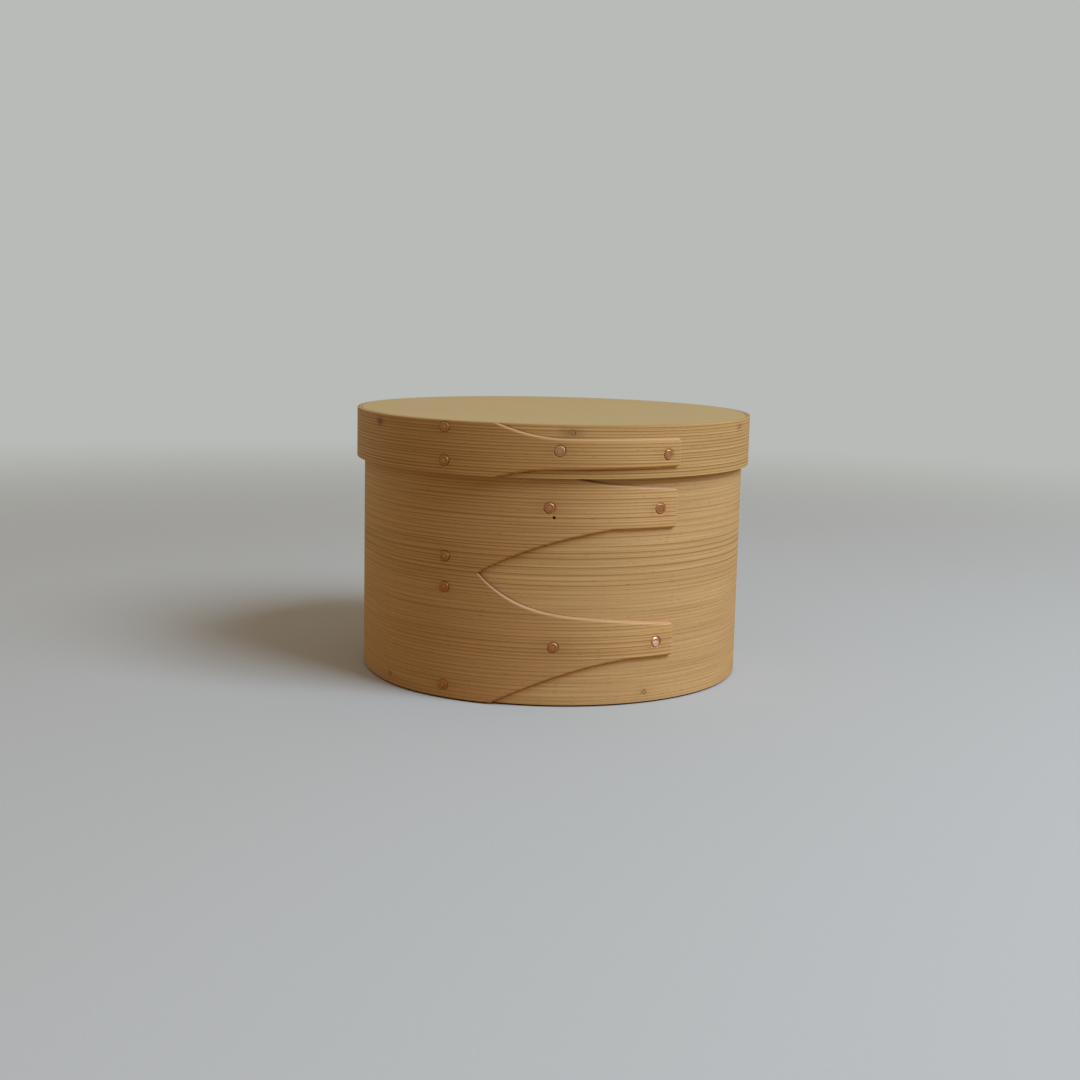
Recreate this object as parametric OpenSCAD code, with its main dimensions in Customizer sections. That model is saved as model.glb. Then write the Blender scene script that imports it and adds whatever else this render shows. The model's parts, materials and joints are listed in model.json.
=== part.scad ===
// Round bentwood pantry box with a lift-off lid.
// Each hoop is one thin strip of softwood. Its finger end laps over its feathered end,
// copper tacks clinch the lap, and pegs hold a round board in the base and in the lid.
// Millimetres, +Z up. The origin is the middle of the underside and the seam faces -Y.
// Angles run along the hoop from -Y towards +X, and "along" is a length on the outside of the lap.

/* [Box] */
// Outside radius of the body hoop where it is one layer thick
body_r = 72.5; // [64:0.5:95]
// Height of the body band
body_h = 93.2; // [86:0.1:130]
// Thickness of the base board
base_t = 7; // [5:0.5:10]
// Gap around the edge of a board
board_gap = 0.1; // [0.05:0.05:0.3]
// Chamfer along the edges of a board
board_chamfer = 0.2; // [0.1:0.1:1]

/* [Lid] */
// Height of the lid band
lid_h = 18.5; // [17:0.5:24]
// Thickness of the lid board
lid_t = 6; // [5:0.5:8]
// Least gap between the lid band and the body
lid_gap = 0.3; // [0.25:0.05:0.6]
// Angle that the lid sits off centre towards, the middle of the lap that it covers
lid_shift_angle = -16; // [-24:1:-8]

/* [Bands] */
// Thickness of the strip that both bands are cut from
band_t = 1.5; // [1.2:0.1:2]
// Hairline gap between the two layers of a lap
lap_gap = 0.1; // [0.06:0.02:0.2]
// Angle at which the outer layer has climbed to its full height
climb_top = -38; // [-44:1:-36]
// Distance of the two bend centres of the climb from the axis of the hoop
bend_offset = 17.3; // [14:0.1:24]
// Length of the thinned inner end, back from the top of the climb
feather_run = 25.5; // [22:0.5:28]
// Slant of the cut edges of the fingers, across the thickness of the strip
finger_bevel = 0.9; // [0.4:0.1:1.2]
// Width of the saw cut at the point of the notch
notch_kerf = 0.4; // [0.2:0.1:0.8]

/* [Body fingers] */
// Reach of the finger tips past the front line
finger_tip = 47; // [44:0.5:50]
// Place of the point of the notch
notch_along = -26.3; // [-30:0.1:-22]
// Place where the outer edges of the fingers leave the rims
root_along = -22.5; // [-26:0.5:-18]
// Height of the straight cut between a rim and a finger at its tip
rim_cut = 17.3; // [14:0.1:20]
// Width of the upper finger at its tip
upper_w = 12.6; // [10:0.1:15]
// Width of the lower finger at its tip
lower_w = 10.5; // [9:0.1:13]
// Rise of the upper edge of the upper finger, back from its tip
upper_taper = 0.08; // [0:0.01:0.12]
// Rise of the upper edge of the lower finger, back from its tip
lower_taper = 0.1; // [0:0.01:0.12]
// Slope at which the outer edges leave the rims
rim_slope = 0.54; // [0.45:0.01:0.65]
// Slope at which the upper edge of the notch leaves its point
notch_rise = 0.62; // [0.5:0.01:0.7]
// Slope at which the lower edge of the notch leaves its point
notch_fall = 1; // [0.8:0.05:1.1]
// Place of the shoulder in the upper edge of the upper finger
upper_top_shoulder = 23; // [18:1:28]
// Place of the shoulder in the lower edge of the upper finger
upper_low_shoulder = 22; // [18:1:28]
// Slope at which that edge reaches its shoulder
upper_low_slope = 0.15; // [0:0.01:0.2]
// Place of the shoulder in the upper edge of the lower finger
lower_top_shoulder = 14; // [10:1:20]
// Place of the shoulder in the lower edge of the lower finger
lower_low_shoulder = 30; // [24:1:34]
// Slope at which that edge reaches its shoulder
lower_low_slope = 0.06; // [0:0.01:0.1]

/* [Lid finger] */
// Reach of the lid finger past the front line
lid_finger_tip = 47.6; // [44:0.1:50]
// Place where the edges of the lid finger leave the rims
lid_root_along = -20.5; // [-24:0.5:-16]
// Width of the lid finger at its tip
lid_finger_w = 9.2; // [8:0.1:11]
// Height of the cut under the lid finger at its tip
lid_under_cut = 3.9; // [3:0.1:5]
// Rise of the lower edge of the lid finger towards its tip
lid_taper = 0.02; // [0:0.01:0.04]
// Slope at which the upper edge leaves the rim of the lid
lid_top_slope = 0.42; // [0.3:0.02:0.5]
// Slope at which the lower edge leaves the rim of the lid
lid_low_slope = 0.36; // [0.25:0.01:0.45]
// Place of the shoulder in the upper edge of the lid finger
lid_top_shoulder = 6; // [2:1:10]
// Place of the shoulder in the lower edge of the lid finger
lid_low_shoulder = 2; // [0:1:6]

/* [Tacks] */
// Radius of a tack head
head_r = 1.9; // [1.6:0.1:2.2]
// Thickness of a tack head in the middle
head_t = 0.5; // [0.4:0.05:0.7]
// Thickness of a tack head at its edge
head_edge_t = 0.35; // [0.3:0.05:0.4]
// Radius of the hammered flat on a tack head
head_flat_r = 1.05; // [0.8:0.05:1.4]
// Depth that a tack head is driven into the wood
head_sunk = 0.2; // [0.1:0.05:0.25]
// Radius of the shank
shank_r = 0.65; // [0.5:0.05:0.8]
// Radius of the flattened end on the inside of the band
clinch_r = 1.1; // [0.9:0.05:1.3]
// Depth that the flattened end is sunk into the wood
clinch_sunk = 0.5; // [0.4:0.05:0.6]
// Thickness of the flattened end at its edge
clinch_edge_t = 0.1; // [0.05:0.05:0.2]
// Length of a tack that is driven into the edge of a board
driven_length = 6.5; // [5.5:0.5:8]
// Length of the taper to the point of such a tack
point_length = 2; // [1.5:0.1:2.2]
// Radius of the blunt end of the point
point_r = 0.15; // [0.1:0.05:0.25]
// Gap between a tack and its hole
tack_gap = 0.04; // [0.02:0.01:0.08]
// Place of the row of tacks at the root of the fingers
root_tack_along = -39; // [-42:0.5:-34]
// Height of the tack above the notch's point, from half the height of the band
notch_tack_above = 4.6; // [4:0.1:7]
// Depth of the tack below the notch's point, from half the height of the band
notch_tack_below = 6.3; // [4:0.1:7]
// Distance of the highest tack of the row from the upper rim
rim_tack_down = 5; // [4:0.1:5.5]
// Distance of the lowest tack of the row below the top of the base board
base_tack_down = 2; // [1.5:0.1:2.5]
// Place of the tack halfway along the upper finger
mid_tack_along = -0.8; // [-4:0.1:4]
// How much further along the lower finger its middle tack stands
mid_tack_stagger = 2.2; // [-3:0.1:3]
// Place of the tacks at the tips of the body fingers
tip_tack_along = 39.8; // [36:0.1:41]
// Distance of the upper finger's middle tack from the upper rim
upper_mid_tack_down = 22.8; // [22:0.1:25]
// Distance of the upper finger's tip tack from the upper rim
upper_tip_tack_down = 23.5; // [22:0.1:25]
// Distance of the lower finger's middle tack from the lower rim
lower_mid_tack_up = 21.5; // [20:0.1:24]
// Distance of the lower finger's tip tack from the lower rim
lower_tip_tack_up = 22.2; // [21:0.1:23]
// Distance of the highest lid tack from the upper rim of the lid
lid_top_tack_down = 2.3; // [2.2:0.1:3]
// Height of the lowest lid tack above the lower rim of the lid
lid_low_tack_up = 4.6; // [3.5:0.1:5.5]
// Place of the tack halfway along the lid finger
lid_mid_tack_along = 2.5; // [-2:0.1:6]
// Place of the tack at the tip of the lid finger
lid_tip_tack_along = 42.2; // [38:0.1:43]
// Height of the lid finger's middle tack above the lower rim of the lid
lid_mid_tack_up = 9.6; // [8:0.1:10]
// Height of the lid finger's tip tack above the lower rim of the lid
lid_tip_tack_up = 8.2; // [7.5:0.1:9.5]
// Radius of the unused pilot hole below one tack
pilot_r = 0.45; // [0.3:0.05:0.6]
// Place of the unused pilot hole
pilot_along = 0.8; // [-3:0.1:4]
// Distance of the unused pilot hole below that tack
pilot_down = 3.4; // [3:0.1:4]

/* [Pegs] */
// Radius of a peg
peg_r = 0.9; // [0.7:0.05:1.2]
// Length of a peg in the board
peg_bite = 6; // [4:0.5:8]
// Gap between a peg and its hole
peg_gap = 0.03; // [0.02:0.01:0.06]
// Angle of the line that the four base pegs are set out about
base_peg_angle = -12; // [-16:1:-8]
// Angle from that line to a base peg
base_peg_spread = 40; // [36:1:50]
// Height of the base pegs above the middle of their board
base_peg_lift = 0.5; // [0:0.1:0.8]
// Number of pegs in the lid
lid_pegs = 6; // [4:1:6]
// Angle of the first lid peg
lid_peg_angle = 5; // [0:1:10]
// Height of the lid pegs above the middle of their board
lid_peg_lift = 0.2; // [0:0.1:0.6]

/* [Hidden] */
$fn = 96;
base_pegs = 4;
// How far any cut goes beyond the wood
overcut = 1;
// How far before its root a finger edge is cut
lead_in = 3;
// Number of straight steps along a finger edge
gap_steps = 30;
softwood = "#B98E55";
board_wood = "#B59D6E";
peg_wood = "#8A6A3C";
copper = "#A86F55";

// Derived sizes of the bands
lap_step = band_t + lap_gap;
lid_r = body_r + lap_step / 2 + lid_gap + band_t;
lid_up = body_h + lid_t - lid_h;
lid_shift = lap_step / 2;
base_peg_up = base_t / 2 + base_peg_lift;
lid_peg_up = lid_h - lid_t / 2 + lid_peg_lift;
pilot_up = body_h - upper_mid_tack_down - pilot_down;

// The climb is two arcs that meet on the turn line, about centres on either side of it
bend_run = bend_offset - lap_step / 2;
bend_side = sqrt(bend_offset * bend_offset - bend_run * bend_run);
bend_half = acos(bend_run / bend_offset);
turn_angle = climb_top - bend_half;

// Finger edge: root along, root up, root slope, shoulder along, shoulder up, shoulder slope, tip slope
far_along = 200;
function rim(up) = [-2 * far_along, up, 0, -far_along, up, 0, 0];
upper_top_up = body_h - rim_cut + upper_taper * (finger_tip - upper_top_shoulder);
upper_low_up = body_h - rim_cut - upper_w;
lower_top_up = rim_cut + lower_w + lower_taper * (finger_tip - lower_top_shoulder);
lid_low_up = lid_under_cut - lid_taper * (lid_finger_tip - lid_low_shoulder);
upper_top = [
    root_along, body_h, -rim_slope,
    upper_top_shoulder, upper_top_up, -upper_taper, -upper_taper
];
upper_low = [
    notch_along, body_h / 2, notch_rise,
    upper_low_shoulder, upper_low_up, upper_low_slope, 0
];
lower_top = [
    notch_along, body_h / 2, -notch_fall,
    lower_top_shoulder, lower_top_up, -lower_taper, -lower_taper
];
lower_low = [
    root_along, 0, rim_slope,
    lower_low_shoulder, rim_cut, lower_low_slope, 0
];
lid_top = [
    lid_root_along, lid_h, -lid_top_slope,
    lid_top_shoulder, lid_under_cut + lid_finger_w, 0, 0
];
lid_low = [
    lid_root_along, 0, lid_low_slope,
    lid_low_shoulder, lid_low_up, lid_taper, lid_taper
];

// Tack: along, up, driven into a board, depth of its head. The one under the lid is flush
body_tacks = [
    [root_tack_along, body_h - rim_tack_down, false, head_t],
    [root_tack_along, body_h / 2 + notch_tack_above, false, head_sunk],
    [root_tack_along, body_h / 2 - notch_tack_below, false, head_sunk],
    [root_tack_along, base_t - base_tack_down, true, head_sunk],
    [mid_tack_along, body_h - upper_mid_tack_down, false, head_sunk],
    [tip_tack_along, body_h - upper_tip_tack_down, false, head_sunk],
    [mid_tack_along + mid_tack_stagger, lower_mid_tack_up, false, head_sunk],
    [tip_tack_along, lower_tip_tack_up, false, head_sunk]
];
lid_tacks = [
    [root_tack_along, lid_h - lid_top_tack_down, true, head_sunk],
    [root_tack_along, lid_low_tack_up, false, head_sunk],
    [lid_mid_tack_along, lid_mid_tack_up, false, head_sunk],
    [lid_tip_tack_along, lid_tip_tack_up, false, head_sunk]
];

function heading(angle) = [cos(angle), sin(angle)];
function hoop_point(r, angle, up) = [r * sin(angle), -r * cos(angle), up];
function turned(length, r) = length / r * 180 / PI;

// Height of a finger edge at a place along the band
function edge_up(edge, along) =
    along < edge[0] ? edge[1] + edge[2] * (along - edge[0])
    : along > edge[3] ? edge[4] + edge[6] * (along - edge[3])
    : let (run = edge[3] - edge[0], t = (along - edge[0]) / run)
        edge[1] * (1 + 2 * t) * (1 - t) * (1 - t) + edge[2] * run * t * (1 - t) * (1 - t)
        + edge[4] * t * t * (3 - 2 * t) + edge[5] * run * t * t * (t - 1);

// Height that a slanted cut gains where the edge itself runs at a slope
function bevel_up(edge, along) =
    let (d = 0.1, slope = (edge_up(edge, along + d) - edge_up(edge, along - d)) / (2 * d))
        finger_bevel * sqrt(1 + slope * slope);

// Outside radius of a hoop near its rims, where the finger roots end at root_angle
function skin_r(r, angle, root_angle) =
    let (a = angle > 180 ? angle - 360 : angle, low = turn_angle - bend_half)
        a < low || a > root_angle ? r
        : a > climb_top ? r + lap_step
        : let (
            inner = a - low < bend_half + asin(bend_side / r),
            lean = inner ? a - low : climb_top - a,
            reach = inner ? r + bend_offset : r + lap_step - bend_offset,
            side = bend_offset * sin(lean)
        )
            (inner ? -1 : 1) * bend_offset * cos(lean) + sqrt(reach * reach - side * side);

module annulus(r_in, r_out) {
    difference() {
        circle(r_out);
        circle(r_in);
    }
}

// Plan of a hoop as a chain of tangent arcs, drawn about the turn line of its climb
module hoop_plan(r, tip) {
    r_in = r - band_t;
    axis = [0, -bend_side];
    // Reach of the lines that part the arcs, in bend offsets
    far = 14;
    low_centre = [-bend_run, 0];
    high_centre = [bend_run, 0];
    far_low = low_centre + far * [bend_run, -bend_side];
    far_high = axis + far * [bend_run, bend_side];
    far_turn = far * high_centre;
    tip_angle = turned(tip, r + lap_step) - turn_angle;
    tip_out = axis + (r + lap_step) * heading(tip_angle);
    tip_in = axis + (r + lap_gap) * heading(tip_angle + turned(finger_bevel, r));
    feather_angle = bend_half - turned(feather_run, r_in);
    rotate(turn_angle - 90) translate(-axis) {
        // One layer, all the way round to the start of the climb
        difference() {
            translate(axis) annulus(r_in, r);
            polygon([axis, far_low, far_high]);
        }
        // Lower arc of the climb
        intersection() {
            translate(low_centre) annulus(r_in + bend_offset, r + bend_offset);
            polygon([low_centre, far_low, far_turn]);
        }
        // Upper arc of the climb
        intersection() {
            translate(high_centre) annulus(r + lap_gap - bend_offset, r + lap_step - bend_offset);
            polygon([high_centre, far_turn, far_high]);
        }
        // Lap, with its slanted end
        intersection() {
            translate(axis) annulus(r + lap_gap, r + lap_step);
            polygon([
                axis, far_high, axis + 3 * r * heading((bend_half + tip_angle) / 2),
                tip_out + r * (tip_out - tip_in), 2 * tip_in - tip_out
            ]);
        }
        // Feathered inner end, which follows the underside of the climb
        difference() {
            union() {
                intersection() {
                    translate(high_centre) circle(r - bend_offset);
                    polygon([high_centre, far_turn, far_high]);
                }
                intersection() {
                    translate(low_centre) circle(r_in + bend_offset - lap_gap);
                    polygon([[0, 0], axis, axis + 3 * r * heading(feather_angle), far_turn]);
                }
            }
            translate(axis) circle(r_in);
        }
    }
}

// Cutter for the open space between two finger edges, through the outer layer only
module finger_gap(r, from, to, under, over) {
    lap_r = r + lap_step;
    floor_r = r + lap_gap / 2;
    grow = overcut / (lap_r - floor_r);
    points = [
        for (i = [0:gap_steps])
            let (
                along = from + (to - from) * i / gap_steps,
                angle = turned(along, lap_r),
                low = edge_up(under, along),
                high = edge_up(over, along),
                middle = (low + high) / 2,
                low_skin = min(low, middle - notch_kerf / 2),
                high_skin = max(high, middle + notch_kerf / 2),
                low_floor = min(low + bevel_up(under, along), middle - notch_kerf / 4),
                high_floor = max(high - bevel_up(over, along), middle + notch_kerf / 4)
            )
                each [
                    hoop_point(floor_r, angle, low_floor),
                    hoop_point(floor_r, angle, high_floor),
                    hoop_point(lap_r + overcut, angle, high_skin + grow * (high_skin - high_floor)),
                    hoop_point(lap_r + overcut, angle, low_skin - grow * (low_floor - low_skin))
                ]
    ];
    last = 4 * gap_steps;
    sides = [
        for (i = [0:gap_steps - 1], j = [0:3])
            let (a = 4 * i + j, b = 4 * i + (j + 1) % 4)
                each [[a, a + 4, b + 4], [a, b + 4, b]]
    ];
    ends = [[0, 1, 2], [0, 2, 3], [last, last + 2, last + 1], [last, last + 3, last + 2]];
    polyhedron(points, concat(sides, ends));
}

// Puts a shape on the hoop, its +Z pointing out of the band
module on_hoop(r, angle, up) {
    rotate(angle) translate([0, -r, up]) rotate([90, 0, 0]) children();
}

// Half outline of a tack, or of its hole where it is grown by a gap
function tack_outline(driven, sunk, grow) =
    let (
        under = -sunk - grow,
        crown = grow > 0 ? overcut : head_t - sunk,
        edge = grow > 0 ? overcut : head_edge_t - sunk,
        neck = shank_r + grow,
        point = -driven_length - grow,
        back = -lap_step - band_t,
        flat = back + tack_gap,
        stop = grow > 0 ? back - grow : flat
    )
        concat(
            [[0, crown], [head_flat_r, crown], [head_r + grow, edge]],
            [[head_r + grow, under], [neck, under]],
            driven
            ? [[neck, point + point_length], [point_r + grow, point], [0, point]]
            : [
                [neck, back + clinch_sunk], [clinch_r + grow, flat + clinch_edge_t],
                [clinch_r + grow, stop], [0, stop]
            ]
        );

module tack(driven, sunk, grow = 0) {
    rotate_extrude() polygon(tack_outline(driven, sunk, grow));
}

module tack_at(place, r, grow = 0) {
    on_hoop(r + lap_step, turned(place[0], r + lap_step), place[1]) tack(place[2], place[3], grow);
}

function base_peg_turn(i) = base_peg_angle + (i % 2 == 1 ? -1 : 1) * base_peg_spread + (i > 2 ? 180 : 0);
function lid_peg_turn(i) = lid_peg_angle + (i - 1) * 360 / lid_pegs;

// A peg runs from the skin of the hoop into its board, and its hole also breaks through the skin
module peg_at(r, angle, up, root_angle, grow = 0) {
    skin = skin_r(r, angle, root_angle);
    length = skin - r + band_t + board_gap + peg_bite;
    beyond = grow > 0 ? overcut : 0;
    on_hoop(skin, angle, up) translate([0, 0, -length - grow])
        cylinder(h = length + grow + beyond, r = peg_r + grow);
}

module base_peg(i, grow = 0) {
    peg_at(body_r, base_peg_turn(i), base_peg_up, turned(root_along, body_r + lap_step), grow);
}

module lid_peg(i, grow = 0) {
    peg_at(lid_r, lid_peg_turn(i), lid_peg_up, turned(lid_root_along, lid_r + lap_step), grow);
}

module board(r, t) {
    c = board_chamfer;
    rotate_extrude() polygon([[0, 0], [r - c, 0], [r, c], [r, t - c], [r - c, t], [0, t]]);
}

module body_band() {
    beyond = finger_tip + lead_in;
    color(softwood) difference() {
        linear_extrude(body_h) hoop_plan(body_r, finger_tip);
        finger_gap(body_r, notch_along, beyond, lower_top, upper_low);
        finger_gap(body_r, root_along - lead_in, beyond, rim(-overcut), lower_low);
        finger_gap(body_r, root_along - lead_in, beyond, upper_top, rim(body_h + overcut));
        for (place = body_tacks) tack_at(place, body_r, tack_gap);
        for (i = [1:base_pegs]) base_peg(i, peg_gap);
        on_hoop(body_r + lap_gap / 2, turned(pilot_along, body_r), pilot_up)
            cylinder(h = lap_step + overcut, r = pilot_r);
    }
}

module base_board() {
    color(board_wood) difference() {
        board(body_r - band_t - board_gap, base_t);
        for (place = body_tacks) if (place[2]) tack_at(place, body_r, tack_gap);
        for (i = [1:base_pegs]) base_peg(i, peg_gap);
    }
}

module body_tack(i) {
    color(copper) tack_at(body_tacks[i - 1], body_r);
}

// The lid sits a little off centre, so that it clears the lap and the plain wall alike
module in_lid() {
    translate(hoop_point(lid_shift, lid_shift_angle, lid_up)) children();
}

module lid_band() {
    beyond = lid_finger_tip + lead_in;
    color(softwood) in_lid() difference() {
        linear_extrude(lid_h) hoop_plan(lid_r, lid_finger_tip);
        finger_gap(lid_r, lid_root_along - lead_in, beyond, rim(-overcut), lid_low);
        finger_gap(lid_r, lid_root_along - lead_in, beyond, lid_top, rim(lid_h + overcut));
        for (place = lid_tacks) tack_at(place, lid_r, tack_gap);
        for (i = [1:lid_pegs]) lid_peg(i, peg_gap);
    }
}

module lid_board() {
    color(board_wood) in_lid() difference() {
        translate([0, 0, lid_h - lid_t]) board(lid_r - band_t - board_gap, lid_t);
        for (place = lid_tacks) if (place[2]) tack_at(place, lid_r, tack_gap);
        for (i = [1:lid_pegs]) lid_peg(i, peg_gap);
    }
}

module lid_tack(i) {
    color(copper) in_lid() tack_at(lid_tacks[i - 1], lid_r);
}

body_band();
base_board();
lid_band();
lid_board();
for (i = [1:len(body_tacks)]) body_tack(i);
for (i = [1:len(lid_tacks)]) lid_tack(i);
for (i = [1:base_pegs]) color(peg_wood) base_peg(i);
for (i = [1:lid_pegs]) color(peg_wood) in_lid() lid_peg(i);
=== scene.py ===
# %% [markdown]
# # A bentwood pantry box
# Two hoops of thin softwood, each one strip bent round and lapped over itself, hold a round board each: one
# hoop is the body, the other is the lid. Copper tacks clinch the laps, and wooden pegs hold the boards. The
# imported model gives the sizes, the places and the one joint. This lesson dresses it: hoops, tacks and pegs
# are made again as their maker makes them, with softened edges, and everything gets a finish worked out
# from the real material.

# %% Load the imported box
import json
import math
from collections import namedtuple

import bmesh
import bpy
import numpy as np
from mathutils import Matrix, Vector
from mathutils.geometry import delaunay_2d_cdt

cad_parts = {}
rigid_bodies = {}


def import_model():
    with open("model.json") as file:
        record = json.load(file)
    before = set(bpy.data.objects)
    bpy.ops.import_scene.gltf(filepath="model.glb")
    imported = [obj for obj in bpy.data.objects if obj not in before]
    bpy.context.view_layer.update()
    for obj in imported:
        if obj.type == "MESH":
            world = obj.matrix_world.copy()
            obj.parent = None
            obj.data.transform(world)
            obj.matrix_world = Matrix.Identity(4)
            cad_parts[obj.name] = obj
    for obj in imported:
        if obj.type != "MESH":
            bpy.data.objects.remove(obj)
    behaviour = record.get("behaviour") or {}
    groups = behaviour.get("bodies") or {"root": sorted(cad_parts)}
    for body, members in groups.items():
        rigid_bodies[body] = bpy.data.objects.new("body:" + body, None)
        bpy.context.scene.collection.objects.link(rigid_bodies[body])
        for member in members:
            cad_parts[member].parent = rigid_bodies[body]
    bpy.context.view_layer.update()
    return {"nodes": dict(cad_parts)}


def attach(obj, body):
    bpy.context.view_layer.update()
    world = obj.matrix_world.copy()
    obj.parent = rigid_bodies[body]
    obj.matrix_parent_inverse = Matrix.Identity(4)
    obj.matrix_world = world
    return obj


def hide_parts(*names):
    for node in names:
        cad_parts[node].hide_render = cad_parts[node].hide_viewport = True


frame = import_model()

MM = 0.001

# %% [markdown]
# ## The camera
# The photograph looks at the box from a little above, as someone seated at the table sees it. Its place
# could be guessed by eye and nudged. It was worked out instead from the rims of the lid and base, which are
# true circles, so every piece below falls where the photograph shows it. The lens is as long as the
# picture's angle of view needs.

# %% Set the camera
CAMERA_BACK, CAMERA_UP = 605.8, 141.6      # from the middle of the base, mm
PITCH, ROLL, YAW = (math.radians(angle) for angle in (8.80, 1.31, -0.41))
FOCAL_PIXELS, PICTURE_PIXELS, SENSOR = 1567.8, 1080, 36.0          # the sensor is in mm


def set_out(name, data):
    """Makes an object of a mesh, a lamp or a camera, and puts it in the scene."""
    made = bpy.data.objects.new(name, data)
    bpy.context.scene.collection.objects.link(made)
    return made


forward = Vector((math.sin(YAW) * math.cos(PITCH), math.cos(YAW) * math.cos(PITCH), -math.sin(PITCH)))
level = Vector((math.cos(YAW), -math.sin(YAW), 0))
above = level.cross(forward)
right = math.cos(ROLL) * level + math.sin(ROLL) * above
upward = math.cos(ROLL) * above - math.sin(ROLL) * level

lens = bpy.data.cameras.new("table_camera")
lens.sensor_width = SENSOR
lens.lens = FOCAL_PIXELS / PICTURE_PIXELS * SENSOR
camera = set_out("table_camera", lens)
stand = Vector((0, -CAMERA_BACK, CAMERA_UP)) * MM
camera.matrix_world = Matrix.Translation(stand) @ Matrix((right, upward, -forward)).transposed().to_4x4()
bpy.context.scene.camera = camera
print("lens", round(lens.lens, 2), "mm")

# %% [markdown]
# ## How a strip climbs over itself
# A bentwood hoop is not two rings: it is one strip whose finger end rises over its other end, on two soft
# bends, and goes on as a second layer. The end below is scraped thin, feathered, so that the inside stays
# round. Two cylinders would show a step where the real hoop flows. So each face of the strip gets a radius
# that depends on how far round it has gone: the angle starts below zero at the feathered end and passes a
# full turn at the lap.

# %% Faces of a strip
STRIP, LAP_GAP = 1.5, 0.1                  # thickness of the strip, and the room between its layers, mm
LAP_STEP = STRIP + LAP_GAP
CLIMB_TOP = math.radians(-38)              # where the outer layer is fully up, from the front
BEND_OFFSET = 17.3                         # from the hoop's middle to the middle of each soft bend, mm
TURN = 2 * math.pi

bend_run = BEND_OFFSET - LAP_STEP / 2
bend_side = math.sqrt(BEND_OFFSET**2 - bend_run**2)
bend_half = math.acos(bend_run / BEND_OFFSET)
climb_foot = CLIMB_TOP - 2 * bend_half


def climbing_face(low_r, high_r, turn):
    """Radius of a face that rises from low_r to high_r on two soft bends."""
    past_foot = turn - (climb_foot + TURN)
    to_top = CLIMB_TOP + TURN - turn
    low_bend = np.sqrt((low_r + BEND_OFFSET) ** 2 - (BEND_OFFSET * np.sin(past_foot)) ** 2)
    high_bend = np.sqrt((high_r - BEND_OFFSET) ** 2 - (BEND_OFFSET * np.sin(to_top)) ** 2)
    rising = low_bend - BEND_OFFSET * np.cos(past_foot)
    levelling = high_bend + BEND_OFFSET * np.cos(to_top)
    climb = np.where(past_foot < bend_half + math.asin(bend_side / low_r), rising, levelling)
    return np.where(past_foot < 0, low_r, np.where(to_top < 0, high_r, climb))


def inner_face(r, turn):
    return climbing_face(r - STRIP, r + LAP_GAP, turn)


def outer_face(r, turn):
    """The skin, which is scraped down at the start to lie under the climb."""
    scraped = inner_face(r, turn + TURN) - LAP_GAP
    return np.where(turn < CLIMB_TOP, scraped, climbing_face(r, r + LAP_STEP, turn))


climb_degrees = [round(math.degrees(angle), 1) for angle in (climb_foot, CLIMB_TOP)]
print("the strip climbs between", *climb_degrees, "degrees")

# %% [markdown]
# ## The fingers
# The end of the strip is cut into fingers: two on the body with a pointed notch between them, one on the
# lid. They let the wood swell and shrink without buckling. Each edge starts at a root, sweeps in to a
# shoulder, and runs on straight to the tip. One cubic curve with a slope at both ends draws that sweep, so
# an edge is only seven numbers.

# %% The two hoops
FingerEdge = namedtuple("FingerEdge", "root root_up root_slope shoulder shoulder_up shoulder_slope tip_slope")
BODY_R, BODY_H, LID_H, LID_BOARD = 72.5, 93.2, 18.5, 6.0
LID_GAP = 0.3                              # play between the lid and the body's lap, mm
LID_SHIFT, LID_SHIFT_ANGLE = LAP_STEP / 2, math.radians(-16)       # off centre, to clear the lap evenly
BODY_ROOT, LID_ROOT = -22.5, -20.5         # where the outer finger edges leave the rims, along the lap, mm
BODY_TIP, LID_TIP = 47.0, 47.6             # where the fingers end, mm
NOTCH = -26.3                              # where the fingers part, along the lap from the front, mm


class Hoop(namedtuple("Hoop", "name r height fingers tip base")):
    """A hoop's radius and height, its finger edges, where they end, and where it stands, in mm."""

    @property
    def lap_r(self):
        return self.r + LAP_STEP


body = Hoop("body_hoop", BODY_R, BODY_H, [
    (FingerEdge(BODY_ROOT, 0, 0.54, 30, 17.3, 0.06, 0),
     FingerEdge(NOTCH, BODY_H / 2, -1, 14, 31.1, -0.1, -0.1)),
    (FingerEdge(NOTCH, BODY_H / 2, 0.62, 22, 63.3, 0.15, 0),
     FingerEdge(BODY_ROOT, BODY_H, -0.54, 23, 77.82, -0.08, -0.08)),
], BODY_TIP, (0, 0, 0))
lid_base = (LID_SHIFT * math.sin(LID_SHIFT_ANGLE), -LID_SHIFT * math.cos(LID_SHIFT_ANGLE),
            BODY_H + LID_BOARD - LID_H)
lid = Hoop("lid_hoop", BODY_R + LAP_STEP / 2 + LID_GAP + STRIP, LID_H, [
    (FingerEdge(LID_ROOT, 0, 0.36, 2, 3.7, 0.03, 0.02), FingerEdge(LID_ROOT, LID_H, -0.42, 6, 13.1, 0, 0)),
], LID_TIP, lid_base)
print("hoops:", {hoop.name: (round(hoop.r, 1), hoop.height) for hoop in (body, lid)})


# %% Draw a finger edge
def edge_up(edge, along):
    """Height of a finger edge: a cubic sweep from root to shoulder, and straight on either side."""
    run = edge.shoulder - edge.root
    t = np.clip((along - edge.root) / run, 0, 1)
    sweep = (edge.root_up * (1 + 2 * t) * (1 - t) ** 2 + edge.root_slope * run * t * (1 - t) ** 2
             + edge.shoulder_up * t**2 * (3 - 2 * t) + edge.shoulder_slope * run * t**2 * (t - 1))
    before, after = np.minimum(along - edge.root, 0), np.maximum(along - edge.shoulder, 0)
    return sweep + before * edge.root_slope + after * edge.tip_slope


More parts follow.
